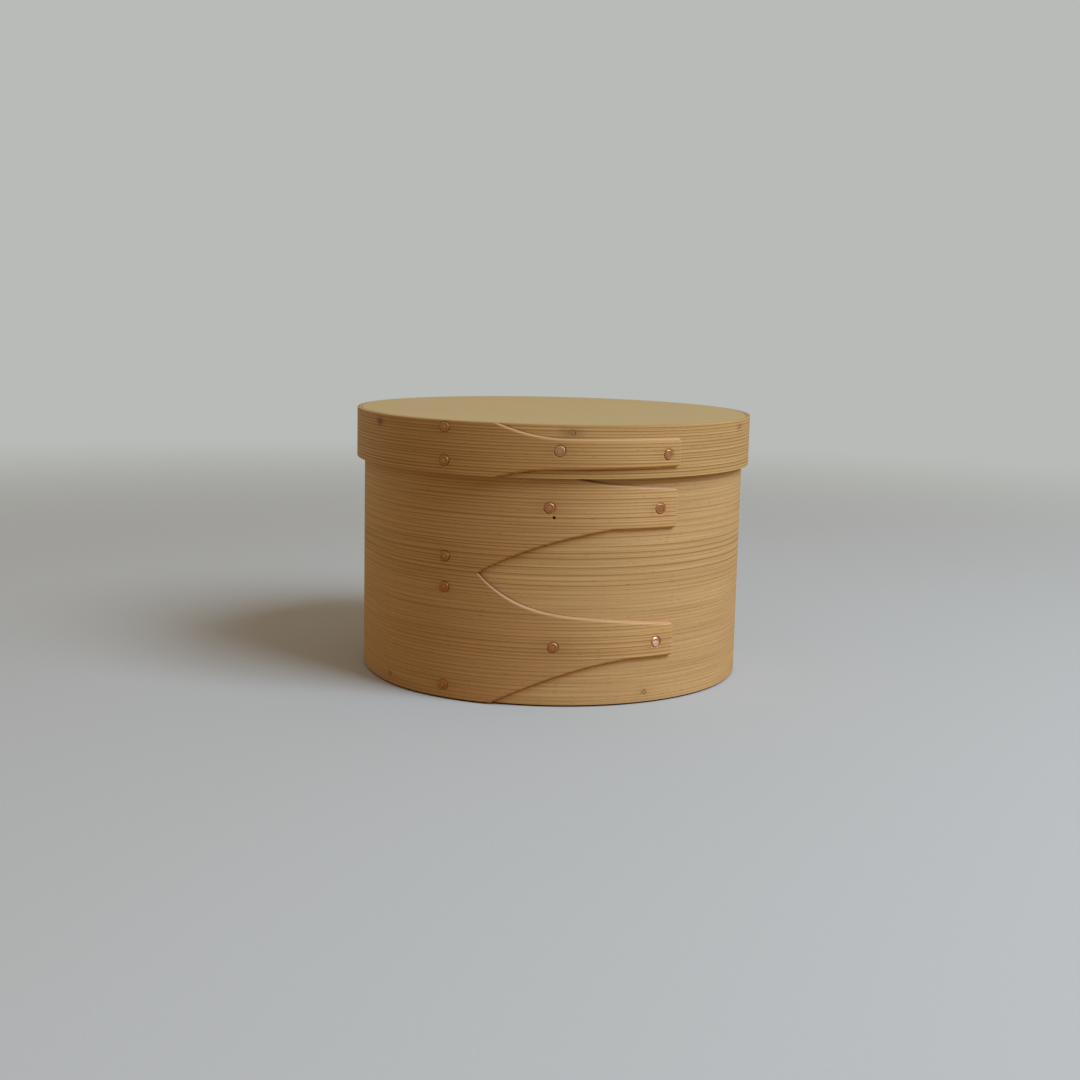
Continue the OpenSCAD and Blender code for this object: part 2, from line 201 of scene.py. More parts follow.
def edge_stretch(edge, along, nudge=0.01):
    """How much longer than level the edge is there."""
    return np.hypot(1, (edge_up(edge, along + nudge) - edge_up(edge, along - nudge)) / (2 * nudge))


for hoop in (body, lid):
    tips = [round(float(edge_up(top, hoop.tip) - edge_up(low, hoop.tip)), 1) for low, top in hoop.fingers]
    print(hoop.name, "finger tips", tips, "mm wide")

# %% [markdown]
# ## The strip's outline
# The maker cuts the flat strip with a knife held at a slant, so each finger edge is a long bevel. A boolean
# cut would leave hard, uneven faces. Instead the flat outline is walked once round: each stop has a place,
# the way out of the wood, and how much of the bevel has room there. It has none on the rims, it grows at
# the roots, and in the point of the notch the two bevels meet in a small groove.

# %% Stops along an edge
BEVEL = 0.9                                # how far the slant of a finger edge reaches, mm
NOTCH_STEEP, NOTCH_RUN = 0.5, 20.0         # steeper by this share in the notch, easing within this, mm
RIM_PITCH, EDGE_PITCH, FINE_PITCH = 2.2, 0.8, 0.25     # between stops on rims, on edges and at roots, mm
TINY = 1e-6


def steps(start, stop, pitch):
    """Even stops from start up to stop, which is left out."""
    return np.linspace(start, stop, max(2, round(abs(stop - start) / pitch)), endpoint=False)


def stops(along, up, out_along=0.0, out_up=0.0, share=0.0, groove=0.0, bevel=BEVEL):
    columns = np.broadcast_arrays(along, up, out_along, out_up, share, groove, bevel)
    return np.column_stack(columns).astype(float)


def notch_bevel(along):
    return BEVEL * np.interp(along, (NOTCH, NOTCH + NOTCH_RUN), (1 - NOTCH_STEEP, 1))


def rim_edge(edge, side, along, rim):
    up, stretch = edge_up(edge, along), edge_stretch(edge, along)
    return stops(along, up, 0, side * stretch, np.clip(abs(up - rim) / (BEVEL * stretch), 0, 1))


def notch_edge(edge, side, along, other, groove_end):
    up, stretch = edge_up(edge, along), edge_stretch(edge, along)
    bevel = notch_bevel(along)
    room = abs(edge_up(other, along) - up) / (bevel * (stretch + edge_stretch(other, along)))
    return stops(along, up, 0, side * stretch, np.clip(room, 0, 1), along < groove_end + TINY, bevel)


print("a bevel reaches", BEVEL, "mm, and", float(notch_bevel(NOTCH)), "mm in the notch's point")

# %% End the groove and round the tips
TIP_STEEP = 0.65                           # the end of a finger is cut steeper by this share
TIP_ROUND, CORNER_STOPS = 0.6, 6           # corner radius of a finger tip, mm, and the stops round it
GROOVE_MOST, HALVINGS = 6.0, 60            # the groove is shorter than this, mm; its end takes 60 halvings


def groove_end_of(low, top):
    """Where the notch is wide enough for both bevels, found by halving."""
    near, far = low.root, low.root + GROOVE_MOST
    for _ in range(HALVINGS):
        middle = (near + far) / 2
        room = notch_bevel(middle) * (edge_stretch(low, middle) + edge_stretch(top, middle))
        near, far = (near, middle) if edge_up(top, middle) - edge_up(low, middle) > room else (middle, far)
    return far


def tip_end(low_up, top_up, tip):
    """The rounded corners of a finger tip and the end between them."""
    sweep = np.linspace(0, math.pi / 2, CORNER_STOPS)
    out, across = np.sin(sweep), np.cos(sweep)
    corner, bevel = tip - TIP_ROUND * (1 - out), BEVEL * (1 - TIP_STEEP * out**2)
    low = stops(corner, low_up + TIP_ROUND * (1 - across), out, -across, 1, 0, bevel)
    top = stops(corner, top_up - TIP_ROUND * (1 - across), out, across, 1, 0, bevel)[::-1]
    end = steps(low_up + TIP_ROUND, top_up - TIP_ROUND, EDGE_PITCH)[1:]
    return np.vstack([low, stops(tip, end, 1, 0, 1, 0, bevel[-1]), top])


groove_run = groove_end_of(body.fingers[0][1], body.fingers[1][0]) - NOTCH
print("the groove in the notch is", round(float(groove_run), 2), "mm long")

# %% Walk once round the strip
FEATHER_RUN = 25.5                         # length of the scraped end, mm
ROOT_RUN = 3.0                             # the bevel grows within this length from a root, mm


def feather_end(hoop):
    """Angle at which the scraped end of the strip starts."""
    return CLIMB_TOP - FEATHER_RUN / (hoop.r - STRIP)


def strip_outline(hoop):
    start = (feather_end(hoop) - TURN) * hoop.lap_r
    straight = hoop.tip - TIP_ROUND
    root = hoop.fingers[0][0].root
    rim = steps(start, root, RIM_PITCH)[1:]
    from_root = np.concatenate([steps(root, root + ROOT_RUN, FINE_PITCH),
                                steps(root + ROOT_RUN, straight, EDGE_PITCH)])
    walk = [stops(rim, 0, 0, -1)]
    for place, (low, top) in enumerate(hoop.fingers):
        if place == 0:
            walk.append(rim_edge(low, -1, from_root, 0))
        else:
            below = hoop.fingers[place - 1][1]
            walk.append(notch_edge(low, -1, from_notch[1:], below, groove_end))
        walk.append(tip_end(edge_up(low, straight), edge_up(top, straight), hoop.tip))
        if place == len(hoop.fingers) - 1:
            walk.append(rim_edge(top, 1, from_root, hoop.height)[::-1])
        else:
            over = hoop.fingers[place + 1][0]
            groove_end = groove_end_of(top, over)
            from_notch = np.concatenate([steps(top.root, groove_end, FINE_PITCH),
                                         steps(groove_end, straight, EDGE_PITCH)])
            walk.append(notch_edge(top, 1, from_notch, over, groove_end)[::-1])
    walk.append(stops(rim, hoop.height, 0, 1)[::-1])
    end = steps(hoop.height, 0, RIM_PITCH)[1:]
    walk += [stops(start, hoop.height, -1, 1), stops(start, end, -1, 0), stops(start, 0, -1, -1)]
    return np.vstack(walk)


print("outline stops:", {hoop.name: len(strip_outline(hoop)) for hoop in (body, lid)})

# %% [markdown]
# ## From outline to wood
# A strip is two faces with an edge between them. The edge is drawn as rows of points that go down the
# bevel, with both arrises softened as sandpaper does, and the faces are filled with triangles. Filling by
# triangles lets the bores for tacks and pegs be part of the strip, so that it stays one closed skin with no
# faces inside it.

# %% Rows down an edge
SOFT, GROOVE_SOFT = 0.13, 0.4              # half a softened arris, mm, and its most as a share of a groove
ROUND_IN = 0.2                             # a finger edge starts to round over this far in from the bevel, mm
CREASE, CREASE_TOP = 0.31, 0.93            # the crease takes this share of a bevel, below this depth share
FOOT_RISE, FOOT_DEEP = 0.6, 0.8            # the foot is scraped hollow: height, mm, and share of the depth
ROW_REACH = 3.0                            # the faces are followed this far from the edge, mm
BOW_POINTS, ROUND_ROWS = 12, 10            # points that draw a rounded edge, and rows of the mesh on it
ARRIS_ROWS, ARRIS_SPAN = 5, 1.3            # rows on the inner arris, and how far they spread, in soft halves
BLUR = np.linspace(-1, 1, 9)               # an arris is softened by averaging over these places


def edge_rows(share, groove, bevel, thick, foot):
    """(offset, depth) of each row from the outer face, over the rounded bevel and to the inner face."""
    lean, foot_share = bevel * share, foot * (1 - share)
    crease = 0 if groove else CREASE * lean
    drop = thick * max(share, foot_share * FOOT_DEEP) * (1 if groove else CREASE_TOP)
    soft = min(SOFT, thick / 4)
    bow = np.linspace(0, math.pi / 2, BOW_POINTS)
    start = -ROUND_IN * share - FOOT_RISE * foot_share * thick / STRIP
    out = (1 - foot_share) * np.sin(bow) + foot_share * (1 - np.cos(bow))
    down = (1 - foot_share) * (1 - np.cos(bow)) + foot_share * np.sin(bow)
    corners = np.column_stack([start + (lean - crease - start) * out, drop * down])
    corners = np.vstack([[(start - ROW_REACH, 0)], corners])
    if groove:
        soft = min(soft, GROOVE_SOFT * math.hypot(lean - start, drop))
    else:
        corners = np.vstack([corners, [(lean, thick), (lean - ROW_REACH, thick)]])
    walk = np.concatenate([[0], np.cumsum(np.hypot(*np.diff(corners, axis=0).T))])
    over = walk[BOW_POINTS]
    thin = min(soft, (walk[-2] - over) / ARRIS_SPAN / 2)
    fade = np.linspace(1, 0 if groove else 1, ROUND_ROWS)
    rounded = np.linspace(walk[1] - ARRIS_SPAN * soft, over, ROUND_ROWS)
    if groove:
        arris = np.full(ARRIS_ROWS, over)
    else:
        arris = walk[BOW_POINTS + 1] + thin * np.linspace(-ARRIS_SPAN, ARRIS_SPAN, ARRIS_ROWS)
    spread = np.concatenate([fade * soft, np.full(ARRIS_ROWS, fade[-1] * thin)])
    sampled = np.concatenate([rounded, arris])[:, None] + spread[:, None] * BLUR
    return np.interp(sampled, walk, corners[:, 0]).mean(1), np.interp(sampled, walk, corners[:, 1]).mean(1)


print("a finger edge takes", len(edge_rows(1.0, 0.0, BEVEL, STRIP, False)[0]), "rows of points")

# %% Keep points and faces
DIGITS = 4                                 # points that agree to this many decimals, in mm, are one point


class FlatStrip:
    """Points (along, up, depth) of a strip before it is bent, each kept once, their marks, and the faces."""

    def __init__(self):
        self.points, self.marks, self.faces, self.seen = [], [], [], {}

    def point(self, along, up, depth, cut=0.0, bare=0.0, dark=0.0):
        key = tuple(round(float(part), DIGITS) for part in (along, up, depth))
        if key not in self.seen:
            self.seen[key] = len(self.points)
            self.points.append(key)
            self.marks.append((cut, bare, dark))
        return self.seen[key]

    def face(self, *corners):
        corners = [c for i, c in enumerate(corners) if c != corners[i - 1]]
        if len(corners) > 2:
            self.faces.append(corners)


trial = FlatStrip()
print("a point that comes again is kept once:", trial.point(0, 0, 0) == trial.point(0, 0, 0))

# %% Choose points to fill a face with
FINE_FILL, COARSE_FILL = 1.6, 3.0          # between points near the lap and elsewhere, mm
NEAR_LAP = -80.0                           # the finer fill starts here, along the strip, mm
HALO = ((0.35, 24), (0.9, 20), (1.8, 16))  # rings round a bore: distance from its rim in mm, number of points
HALO_ROOM, FILL_ROOM = 0.6, 0.62           # points stay this share of their spacing away from others
RIM_ROOM = 0.01                            # and at least this far from a bore, mm
ROW_SHARE = 0.87                           # rows of even triangles are this share of a side apart


def inside(places, loop):
    """Which places lie in a closed loop, by counting crossings."""
    x, y = places[:, :1], places[:, 1:]
    (ax, ay), (bx, by) = loop.T, np.roll(loop, -1, axis=0).T
    with np.errstate(divide="ignore", invalid="ignore"):
        crossed = ((ay > y) != (by > y)) & (x < (bx - ax) * (y - ay) / (by - ay) + ax)
    return crossed.sum(1) % 2 == 1


def fill_points(loop, rims):
    """Rings of points that widen round each bore, and staggered points clear of them and of the loop."""
    middles = [rim.mean(0) for rim in rims]
    radii = [np.hypot(*(rim[0] - middle)) for rim, middle in zip(rims, middles)]

    def clear_of(spots, edges, room):
        for middle, radius in zip(middles, radii):
            spots = spots[np.hypot(*(spots - middle).T) > radius + RIM_ROOM]
        return spots[[np.hypot(*(edges - spot).T).min() > room for spot in spots]]

    halos, edges = [], [loop, *rims]
    for middle, radius in zip(middles, radii):
        for gap, count in HALO:
            around = np.linspace(0, TURN, count, endpoint=False) + gap
            halo = middle + (radius + gap) * np.column_stack([np.cos(around), np.sin(around)])
            halos.append(clear_of(halo[inside(halo, loop)], np.vstack(edges + halos), HALO_ROOM * gap))
    chosen, edges = halos[:], np.vstack(edges + halos)
    (first, lowest), (last, highest) = loop.min(0), loop.max(0)
    for pitch, start, stop in ((FINE_FILL, NEAR_LAP, last), (COARSE_FILL, first, NEAR_LAP)):
        columns, rows = np.arange(start, stop, pitch), np.arange(lowest, highest, pitch * ROW_SHARE)
        along, up = np.meshgrid(columns, rows)
        along = along + pitch / 2 * (np.arange(len(rows)) % 2)[:, None]
        spots = np.column_stack([along.ravel(), up.ravel()])
        chosen.append(clear_of(spots[inside(spots, loop)], edges, FILL_ROOM * pitch))
    return np.vstack(chosen)


square = np.array([(0, 0), (20, 0), (20, 20), (0, 20)], float)
print("a square of 20 mm is filled with", len(fill_points(square, [])), "points")

# %% Fill a face with triangles
MERGE = 1e-7                               # places closer than this, mm, are one for the triangles
TRIANGLES_INSIDE = 1                       # the kind of result that is asked for


def fill_face(strip, loop, rims, depth_at, outward):
    """Fills the face inside a loop of point numbers with triangles, and leaves the bores' rims open."""
    flat = np.array(strip.points)[:, :2]
    loops = [loop, *rims]
    spots = fill_points(flat[loop], [flat[rim] for rim in rims])
    numbers = [n for one in loops for n in one]
    numbers += [strip.point(along, up, depth_at(along)) for along, up in spots]
    owner = np.repeat(np.arange(len(loops) + 1), [*map(len, loops), len(spots)])
    starts = np.concatenate([[0], np.cumsum([len(one) for one in loops])])
    edges = [(s + i, s + (i + 1) % len(one)) for s, one in zip(starts, loops) for i in range(len(one))]
    places = [Vector(place) for place in np.vstack([flat[numbers[:starts[-1]]], spots])]
    _, _, triangles, came_from, _, _ = delaunay_2d_cdt(places, edges, [], TRIANGLES_INSIDE, MERGE, True)
    triangles = np.array([[came_from[corner][0] for corner in triangle] for triangle in triangles])
    owners = owner[triangles]
    one_loop = (owners == owners[:, :1]).all(1) & (owners[:, 0] < len(loops))
    in_wood = inside(np.array(places)[triangles].mean(1), flat[loop])
    for a, b, c in triangles[~one_loop | (owners[:, 0] == 0) & in_wood]:
        corners = [numbers[a], numbers[b], numbers[c]]
        strip.face(*(corners if outward else corners[::-1]))


trial = FlatStrip()
fill_face(trial, [trial.point(*corner, 0) for corner in square], [], lambda along: 0.0, True)
print("which make", len(trial.faces), "triangles")

# %% Bore a strip
Bore = namedtuple("Bore", "angle layer up rings")      # a ring: radius, depth, from outer 0 or inner 1 face
RING_POINTS = 32
BORE_SHADE_DEPTH = 0.9                            # deeper than this, mm, a bore is fully dark: painted shade, darker the deeper


def bore_along(hoop, bore):
    """Where a bore lies along the flat strip, mm."""
    return (bore.angle + (bore.layer - 1) * TURN) * hoop.lap_r


def bore_strip(strip, hoop, bore, thick_at):
    """Adds a bore's rings and returns its rim on the outer face, and on the inner face if it goes through."""
    angles = np.linspace(0, TURN, RING_POINTS, endpoint=False)
    along = bore_along(hoop, bore)
    skin_r = float(outer_face(hoop.r, bore.angle + bore.layer * TURN))
    rings = []
    for radius, depth, side in bore.rings:
        ring = zip(along + radius * np.cos(angles) * hoop.lap_r / skin_r, bore.up + radius * np.sin(angles))
        # Painted shade: the deeper in a bore, the darker.
        dark = min(max(depth, 0) / BORE_SHADE_DEPTH, 1)
        rings.append([strip.point(a, u, depth + side * thick_at(a), 0, 0, dark) for a, u in ring])
    for ring, deeper in zip(rings, rings[1:]):
        for i in range(RING_POINTS):
            j = (i + 1) % RING_POINTS
            strip.face(ring[i], ring[j], deeper[j], deeper[i])
    if bore.rings[-1][1:] == (0, 1):
        return rings[0], rings[-1]
    strip.face(*rings[-1])
    return rings[0], None


print("a bore is drawn with", RING_POINTS, "points a ring")

# %% Mark the cuts, the bare and highlit tips, and the dust and painted shade on an edge
CUT_FULL = 0.5                             # the cut shows in full from this share of the depth
BARE_HIGHLIGHT_BAND = (0, 0.15, 0.6, 0.9)            # bare wood and a painted highlight across a finger's end: starts, is full, wanes, ends
CREASE_DUST_AND_SHADE_FROM, CREASE_DUST_AND_SHADE_RUN = 0.75, 0.2        # dust and painted shade start and grow in the crease, shares of its depth
CREASE_DUST_AND_SHADE_FADE, CREASE_DUST_AND_SHADE_LEAST = 30.0, 0.2      # they wane from the front to here, mm, down to this share
NOTCH_DUST_AND_SHADE = 0.1                           # in the notch's point, on the edge that faces up, they start here
GROOVE_LEAST = 0.2                         # least share of the depth that the groove is reckoned with
FOOT_DIRT_AND_SHADE = 0.5                            # share of its depth at which the hollow foot is fully dark with dirt and painted shade
TIP_FACING = 4                             # a power that keeps the bare wood and painted highlight to the very end of a finger


def edge_marks(stop, depths, thick, foot):
    """How far each row of an edge is cut, bare with a painted highlight at a finger's end, and dark with dust
    and painted shade.
    """
    along, _, out_along, out_up, share, groove, _ = stop
    at_tip = max(out_along, 0) ** TIP_FACING * share
    cuts = np.clip(depths / thick / CUT_FULL, 0, 1) * (share - at_tip)
    # A painted highlight on the bare, rounded end of a finger.
    bares = np.interp(depths / thick, BARE_HIGHLIGHT_BAND, (0, 1, 1, 0)) * at_tip
    deep = depths / (thick * max(share, GROOVE_LEAST) if groove else thick)
    # Dust and painted shade in the crease at the foot of a bevel, and in full in the notch's groove.
    dust_and_shade_from = CREASE_DUST_AND_SHADE_FROM
    if out_up > 0:
        dust_and_shade_from = np.interp(along, (NOTCH, NOTCH + NOTCH_RUN), (NOTCH_DUST_AND_SHADE, CREASE_DUST_AND_SHADE_FROM))
    dust_and_shade = 1 if groove else np.interp(along, (0, CREASE_DUST_AND_SHADE_FADE), (1, CREASE_DUST_AND_SHADE_LEAST)) * share
    crease_dust_and_shade = np.clip((deep - dust_and_shade_from) / CREASE_DUST_AND_SHADE_RUN, 0, 1) * dust_and_shade
    # Under the hollow foot of the body: dirt and painted shade.
    return cuts, bares, np.maximum(crease_dust_and_shade, np.clip(deep / FOOT_DIRT_AND_SHADE, 0, 1) * foot * (1 - share))


trial_marks = edge_marks(stops(0, BODY_H / 2, 0, 1, 1)[0], np.array([STRIP]), STRIP, False)
print("at the foot of a bevel: cut, bare, dark", [round(float(mark[0]), 2) for mark in trial_marks])


# %% Cut and bend a strip
def cut_strip(hoop, bores):
    def thick_at(along):
        turn = along / hoop.lap_r + TURN
        return float(outer_face(hoop.r, turn) - inner_face(hoop.r, turn))

    strip, rows, outline = FlatStrip(), [], strip_outline(hoop)
    for stop in outline:
        along, up, out_along, out_up, share, groove, bevel = stop
        thick = thick_at(along)
        foot = hoop is body and out_up < 0 and up < BODY_H / 4
        offsets, depths = edge_rows(share, groove, bevel, thick, foot)
        marks = edge_marks(stop, depths, thick, foot)
        rows.append([strip.point(along + o * out_along, up + o * out_up, d, *kept)
                     for o, d, *kept in zip(offsets, depths, *marks)])
    for row, after in zip(rows, rows[1:] + rows[:1]):
        for i in range(len(row) - 1):
            strip.face(after[i], row[i], row[i + 1], after[i + 1])
    outer_loop = [row[0] for row in rows]
    inner_loop = [row[-1] for row, (*_, share, groove, _) in zip(rows, outline)
                  if not groove or share > 1 - TINY]
    inner_loop = [n for i, n in enumerate(inner_loop) if n != inner_loop[i - 1]]
    outer_rims, inner_rims = [], []
    for bore in bores:
        rim, far_rim = bore_strip(strip, hoop, bore, thick_at)
        outer_rims.append(rim)
        inner_rims += [far_rim] if far_rim else []
    fill_face(strip, outer_loop, outer_rims, lambda along: 0.0, True)
    fill_face(strip, inner_loop, inner_rims, thick_at, False)
    return strip


def bend_strip(strip, hoop):
    """Points of the flat strip, bent round and set in place, in metres."""
    along, up, depth = np.array(strip.points).T
    turn = along / hoop.lap_r + TURN
    radius = outer_face(hoop.r, turn) - depth
    return (np.column_stack([radius * np.sin(turn), -radius * np.cos(turn), up]) + hoop.base) * MM


print("flat strips, mm long:", {hoop.name: round(np.ptp(strip_outline(hoop)[:, 0])) for hoop in (body, lid)})

# %% [markdown]
# ## Where the fasteners go
# The tacks stand in a row at the root of the fingers and along each finger, and the pegs go round the rims
# into the boards. Tack places are lengths along the lap from the front, pegs are angles round the box. Each
# fastener needs its own bore through every layer that it passes, with a pressed dish in the wood under a
# hammered head. One small bore holds nothing: it was started for a tack and left.

# %% Places of tacks and pegs
Tack = namedtuple("Tack", "along up driven sunk")      # driven ones end in a board, the others are clinched
HEAD_SUNK, HEAD_THICK = 0.2, 0.5           # how deep a head sits in the wood, and its thickness, mm
ROOT_ROW = -39.0                           # the row at the root of the fingers, along the lap, mm
body_tacks = [Tack(ROOT_ROW, 88.2, False, HEAD_THICK), Tack(ROOT_ROW, 51.2, False, HEAD_SUNK),
              Tack(ROOT_ROW, 40.3, False, HEAD_SUNK), Tack(ROOT_ROW, 5.0, True, HEAD_SUNK),
              Tack(-0.8, 70.4, False, HEAD_SUNK), Tack(39.8, 69.7, False, HEAD_SUNK),
              Tack(1.4, 21.5, False, HEAD_SUNK), Tack(39.8, 22.2, False, HEAD_SUNK)]
lid_tacks = [Tack(ROOT_ROW, 16.2, True, HEAD_SUNK), Tack(ROOT_ROW, 4.6, False, HEAD_SUNK),
             Tack(2.5, 9.6, False, HEAD_SUNK), Tack(42.2, 8.2, False, HEAD_SUNK)]
SKEW_TACK = body_tacks[7]                  # it went in at a slant, so its head leans up to the light
BASE_PEG_UP, LID_PEG_UP = 4.0, 15.7        # heights of the pegs on their hoops, mm
base_peg_angles = [math.radians(a) for a in (-52, 28, 128, -152)]
lid_peg_angles = [math.radians(a) for a in (5, 65, 125, -175, -115, -55)]
PILOT_ALONG, PILOT_UP = 0.82, 67.0         # the bore that was left
print(len(body_tacks + lid_tacks), "tacks,", len(base_peg_angles + lid_peg_angles), "pegs")

# %% Their bores
# Each ring is a radius and a depth in mm, and the face from which the depth goes in.
SHANK_HOLE = [(0.8, 0.22, 0), (0.72, 0.3, 0), (0.72, 0, 1)]
DISH = [(2.45, 0, 0), (2.33, 0.01, 0), (2.22, 0.04, 0), (2.13, 0.1, 0), (2.05, 0.2, 0), *SHANK_HOLE]
TIGHT_SEAT = [(1.95, 0, 0), (1.93, 0.1, 0), (1.92, 0.2, 0), *SHANK_HOLE]
FLUSH_SEAT = [(2.1, 0, 0), (1.98, 0.1, 0), (1.95, 0.5, 0), (0.8, 0.52, 0), (0.72, 0.6, 0), (0.72, 0, 1)]
CLINCH_BORE = [(0.72, 0, 0), (0.72, -0.5, 1), (1.25, -0.1, 1), (1.3, 0, 1)]
PLAIN_BORE = [(0.72, 0, 0), (0.72, 0, 1)]
PEG_BORE = [(1.0, 0, 0), (0.99, 0.03, 0), (0.985, 0, 1)]
PILOT_BORE = [(0.62, 0, 0), (0.56, 0.05, 0), (0.52, 1.4, 0)]


def tack_bores(hoop, tacks):
    made = []
    for tack in tacks:
        seat = DISH
        if tack.sunk == HEAD_THICK or tack is SKEW_TACK:
            seat = FLUSH_SEAT
        elif min(tack.up, hoop.height - tack.up) < DISH[0][0] + SOFT * 2:
            seat = TIGHT_SEAT
        below = PLAIN_BORE if tack.driven else CLINCH_BORE
        angle = tack.along / hoop.lap_r
        made += [Bore(angle, 1, tack.up, seat), Bore(angle, 0, tack.up, below)]
    return made


def peg_bores(hoop, angles, up):
    """A peg on the rising part of the strip goes through it and through the feathered end below."""
    made = []
    for angle in angles:
        layers = (1,) if angle < feather_end(hoop) else (0, 1) if angle < CLIMB_TOP else (0,)
        made += [Bore(angle, layer, up, PEG_BORE) for layer in layers]
    return made


body_bores = tack_bores(body, body_tacks) + peg_bores(body, base_peg_angles, BASE_PEG_UP)
body_bores.append(Bore(PILOT_ALONG / body.lap_r, 1, PILOT_UP, PILOT_BORE))
lid_bores = tack_bores(lid, lid_tacks) + peg_bores(lid, lid_peg_angles, LID_PEG_UP)
print(len(body_bores), "bores in the body's strip,", len(lid_bores), "in the lid's")

# %% [markdown]
# ## Make the hoops
# Now the flat strips become meshes. Each point also keeps where it lay on the flat strip, because the
# growth lines of the wood run along the strip and must follow it up the climb and over the lap. It keeps
# three marks as well: how far it is cut, how bare it is at a finger's end, where a painted highlight also
# lies, and how dark it is. Dust and painted shade in the creases, painted shade in the bores, and dirt and
# painted shade under the hollow foot make it dark, and so do the tacks, whose metal tints the wood, and
# the pegs, whose bores have drunk oil.

# %% Turn points and faces into pieces
def new_piece(name, points, faces, body_name, node):
    mesh = bpy.data.meshes.new(name)
    mesh.from_pydata(points, [], faces)
    shape = bmesh.new()
    shape.from_mesh(mesh)
    bmesh.ops.recalc_face_normals(shape, faces=shape.faces)
    open_edges = sum(not edge.is_manifold for edge in shape.edges)
    shape.to_mesh(mesh)
    shape.free()
    mesh.shade_smooth()
    piece = set_out(name, mesh)
    piece.modifiers.new("even_shading", "WEIGHTED_NORMAL").mode = "FACE_AREA_WITH_ANGLE"
    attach(piece, body_name)
    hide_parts(node)
    return piece, open_edges


def keep_marks(piece, **marks):
    """Keeps a number, or a place of three numbers, with each point, where a finish can read it."""
    for name, values in marks.items():
        kind, field = ("FLOAT_VECTOR", "vector") if values.ndim == 2 else ("FLOAT", "value")
        layer = piece.data.attributes.new(name, kind, "POINT")
        layer.data.foreach_set(field, values.ravel().astype(np.float32))


# %% Dress the hoops
STAIN_REACH, TACK_STAIN = 2.7, 0.18        # how far a tack tints the wood, mm, and how strongly
PEG_REACH = 1.5                            # the same for the oil that a peg's bore has drunk
ALONG_GRAIN = 1.8                          # stains run this much further along the grain
BODY_PEG_STAIN = (0.1, 0.1, 0.2, 0.1, 0.1)             # how dark it is round each bore
LID_PEG_STAIN = (0.6, 0.3, 0.2, 0.2, 0.3, 0.8, 0.8)


def dress_hoop(hoop, bores, tacks, peg_stains, body_name, node):
    strip = cut_strip(hoop, bores)
    points = bend_strip(strip, hoop)
    piece, open_edges = new_piece(hoop.name, points, strip.faces, body_name, node)
    flat = np.array(strip.points)
    # The dark mark is painted shade, with dust and dirt, in creases, bores and under the foot; the tint round
    # tacks and pegs is added to it.
    cut, bare, stain = np.array(strip.marks).T
    spots = [(tack.along, tack.up, TACK_STAIN, STAIN_REACH) for tack in tacks]
    pegs = [bore for bore in bores if bore.rings is PEG_BORE]
    spots += [(bore_along(hoop, bore), bore.up, most, PEG_REACH) for bore, most in zip(pegs, peg_stains)]
    for along, up, most, reach in spots:
        away = np.hypot((flat[:, 0] - along) / ALONG_GRAIN, flat[:, 1] - up)
        stain = np.maximum(stain, most * np.exp(-((away / reach) ** 2)) * (flat[:, 2] < STRIP / 2))
    keep_marks(piece, strip=flat * MM, cut=cut, bare=bare, stain=stain)
    print(hoop.name, len(flat), "points", len(strip.faces), "faces", open_edges, "open edges")
    return piece


body_piece = dress_hoop(body, body_bores, body_tacks, BODY_PEG_STAIN, "box", "body_band")
lid_piece = dress_hoop(lid, lid_bores, lid_tacks, LID_PEG_STAIN, "lid", "lid_band")

# %% [markdown]
# ## Finishes
# All finishes are drawn by nodes, so they look right from near and far and need no pictures. Colours are
# written as they are seen, in sRGB hex, and turned to the linear values that light is reckoned in. A single
# helper adds a node, sets it up and links it, and each finish is then a short list of such calls. Sizes in
# the patterns are millimetres. Wood and copper end alike: a colour, a roughness and a relief go into one
# shader.

# %% Colours and nodes
def linear(code):
    """An sRGB hex colour as linear red, green, blue and alpha."""
    shown = [int(code[i:i + 2], 16) / 255 for i in (1, 3, 5)]
    return *(c / 12.92 if c <= 0.04045 else ((c + 0.055) / 1.055) ** 2.4 for c in shown), 1.0


def add(tree, kind, inputs=(), out=0, **settings):
    """Adds a node, with its settings, its inputs as values or links, and returns one of its outputs."""
    node = tree.nodes.new("ShaderNode" + kind)
    for name, value in settings.items():
        setattr(node, name, value)
    for socket, value in dict(inputs).items():
        if isinstance(value, bpy.types.NodeSocket):
            tree.links.new(value, node.inputs[socket])
        else:
            node.inputs[socket].default_value = value
    return node.outputs[out] if node.outputs else node


def new_finish(name):
    finish = bpy.data.materials.new(name)
    finish.use_nodes = True
    finish.node_tree.nodes.clear()
    return finish, finish.node_tree


def blend_colours(tree, colour, *layers):
    """Lays each (colour, share of it, most of it) over the colour so far."""
    for code, share, most in layers:
        part = add(tree, "Math", {0: share, 1: most}, operation="MULTIPLY", use_clamp=True)
        colour = add(tree, "Mix", {0: part, 6: colour, 7: linear(code)}, out=2, data_type="RGBA")
    return colour


def end_finish(tree, colour, rough, relief, high, shell):
    """Puts a colour, a roughness and a relief of this height in mm into a shader, with its other values."""
    bump = add(tree, "Bump", {"Strength": 1.0, "Distance": high * MM, "Height": relief})
    shader = add(tree, "BsdfPrincipled", {"Base Color": colour, "Roughness": rough, "Normal": bump, **shell})
    add(tree, "OutputMaterial", {"Surface": shader})


print("mid grey is", round(linear("#808080")[0], 3), "in linear light")

# %% [markdown]
# ### The figure of a straight-grained softwood
# A conifer grows pale wood in spring and a thin, dark, hard line of latewood before winter. Sawn on the
# quarter, these show as lines along the strip. Each line darkens slowly on one side and stops sharply on
# the other, some years are strong and some faint, and all of them sway a little. Wave textures look too
# even for that. So the rings are counted: a number grows across the wood, its fraction is how far the year
# has gone, and its whole part picks the year. Fibres, resin dashes and patches of tone are noise, stretched
# along the grain.

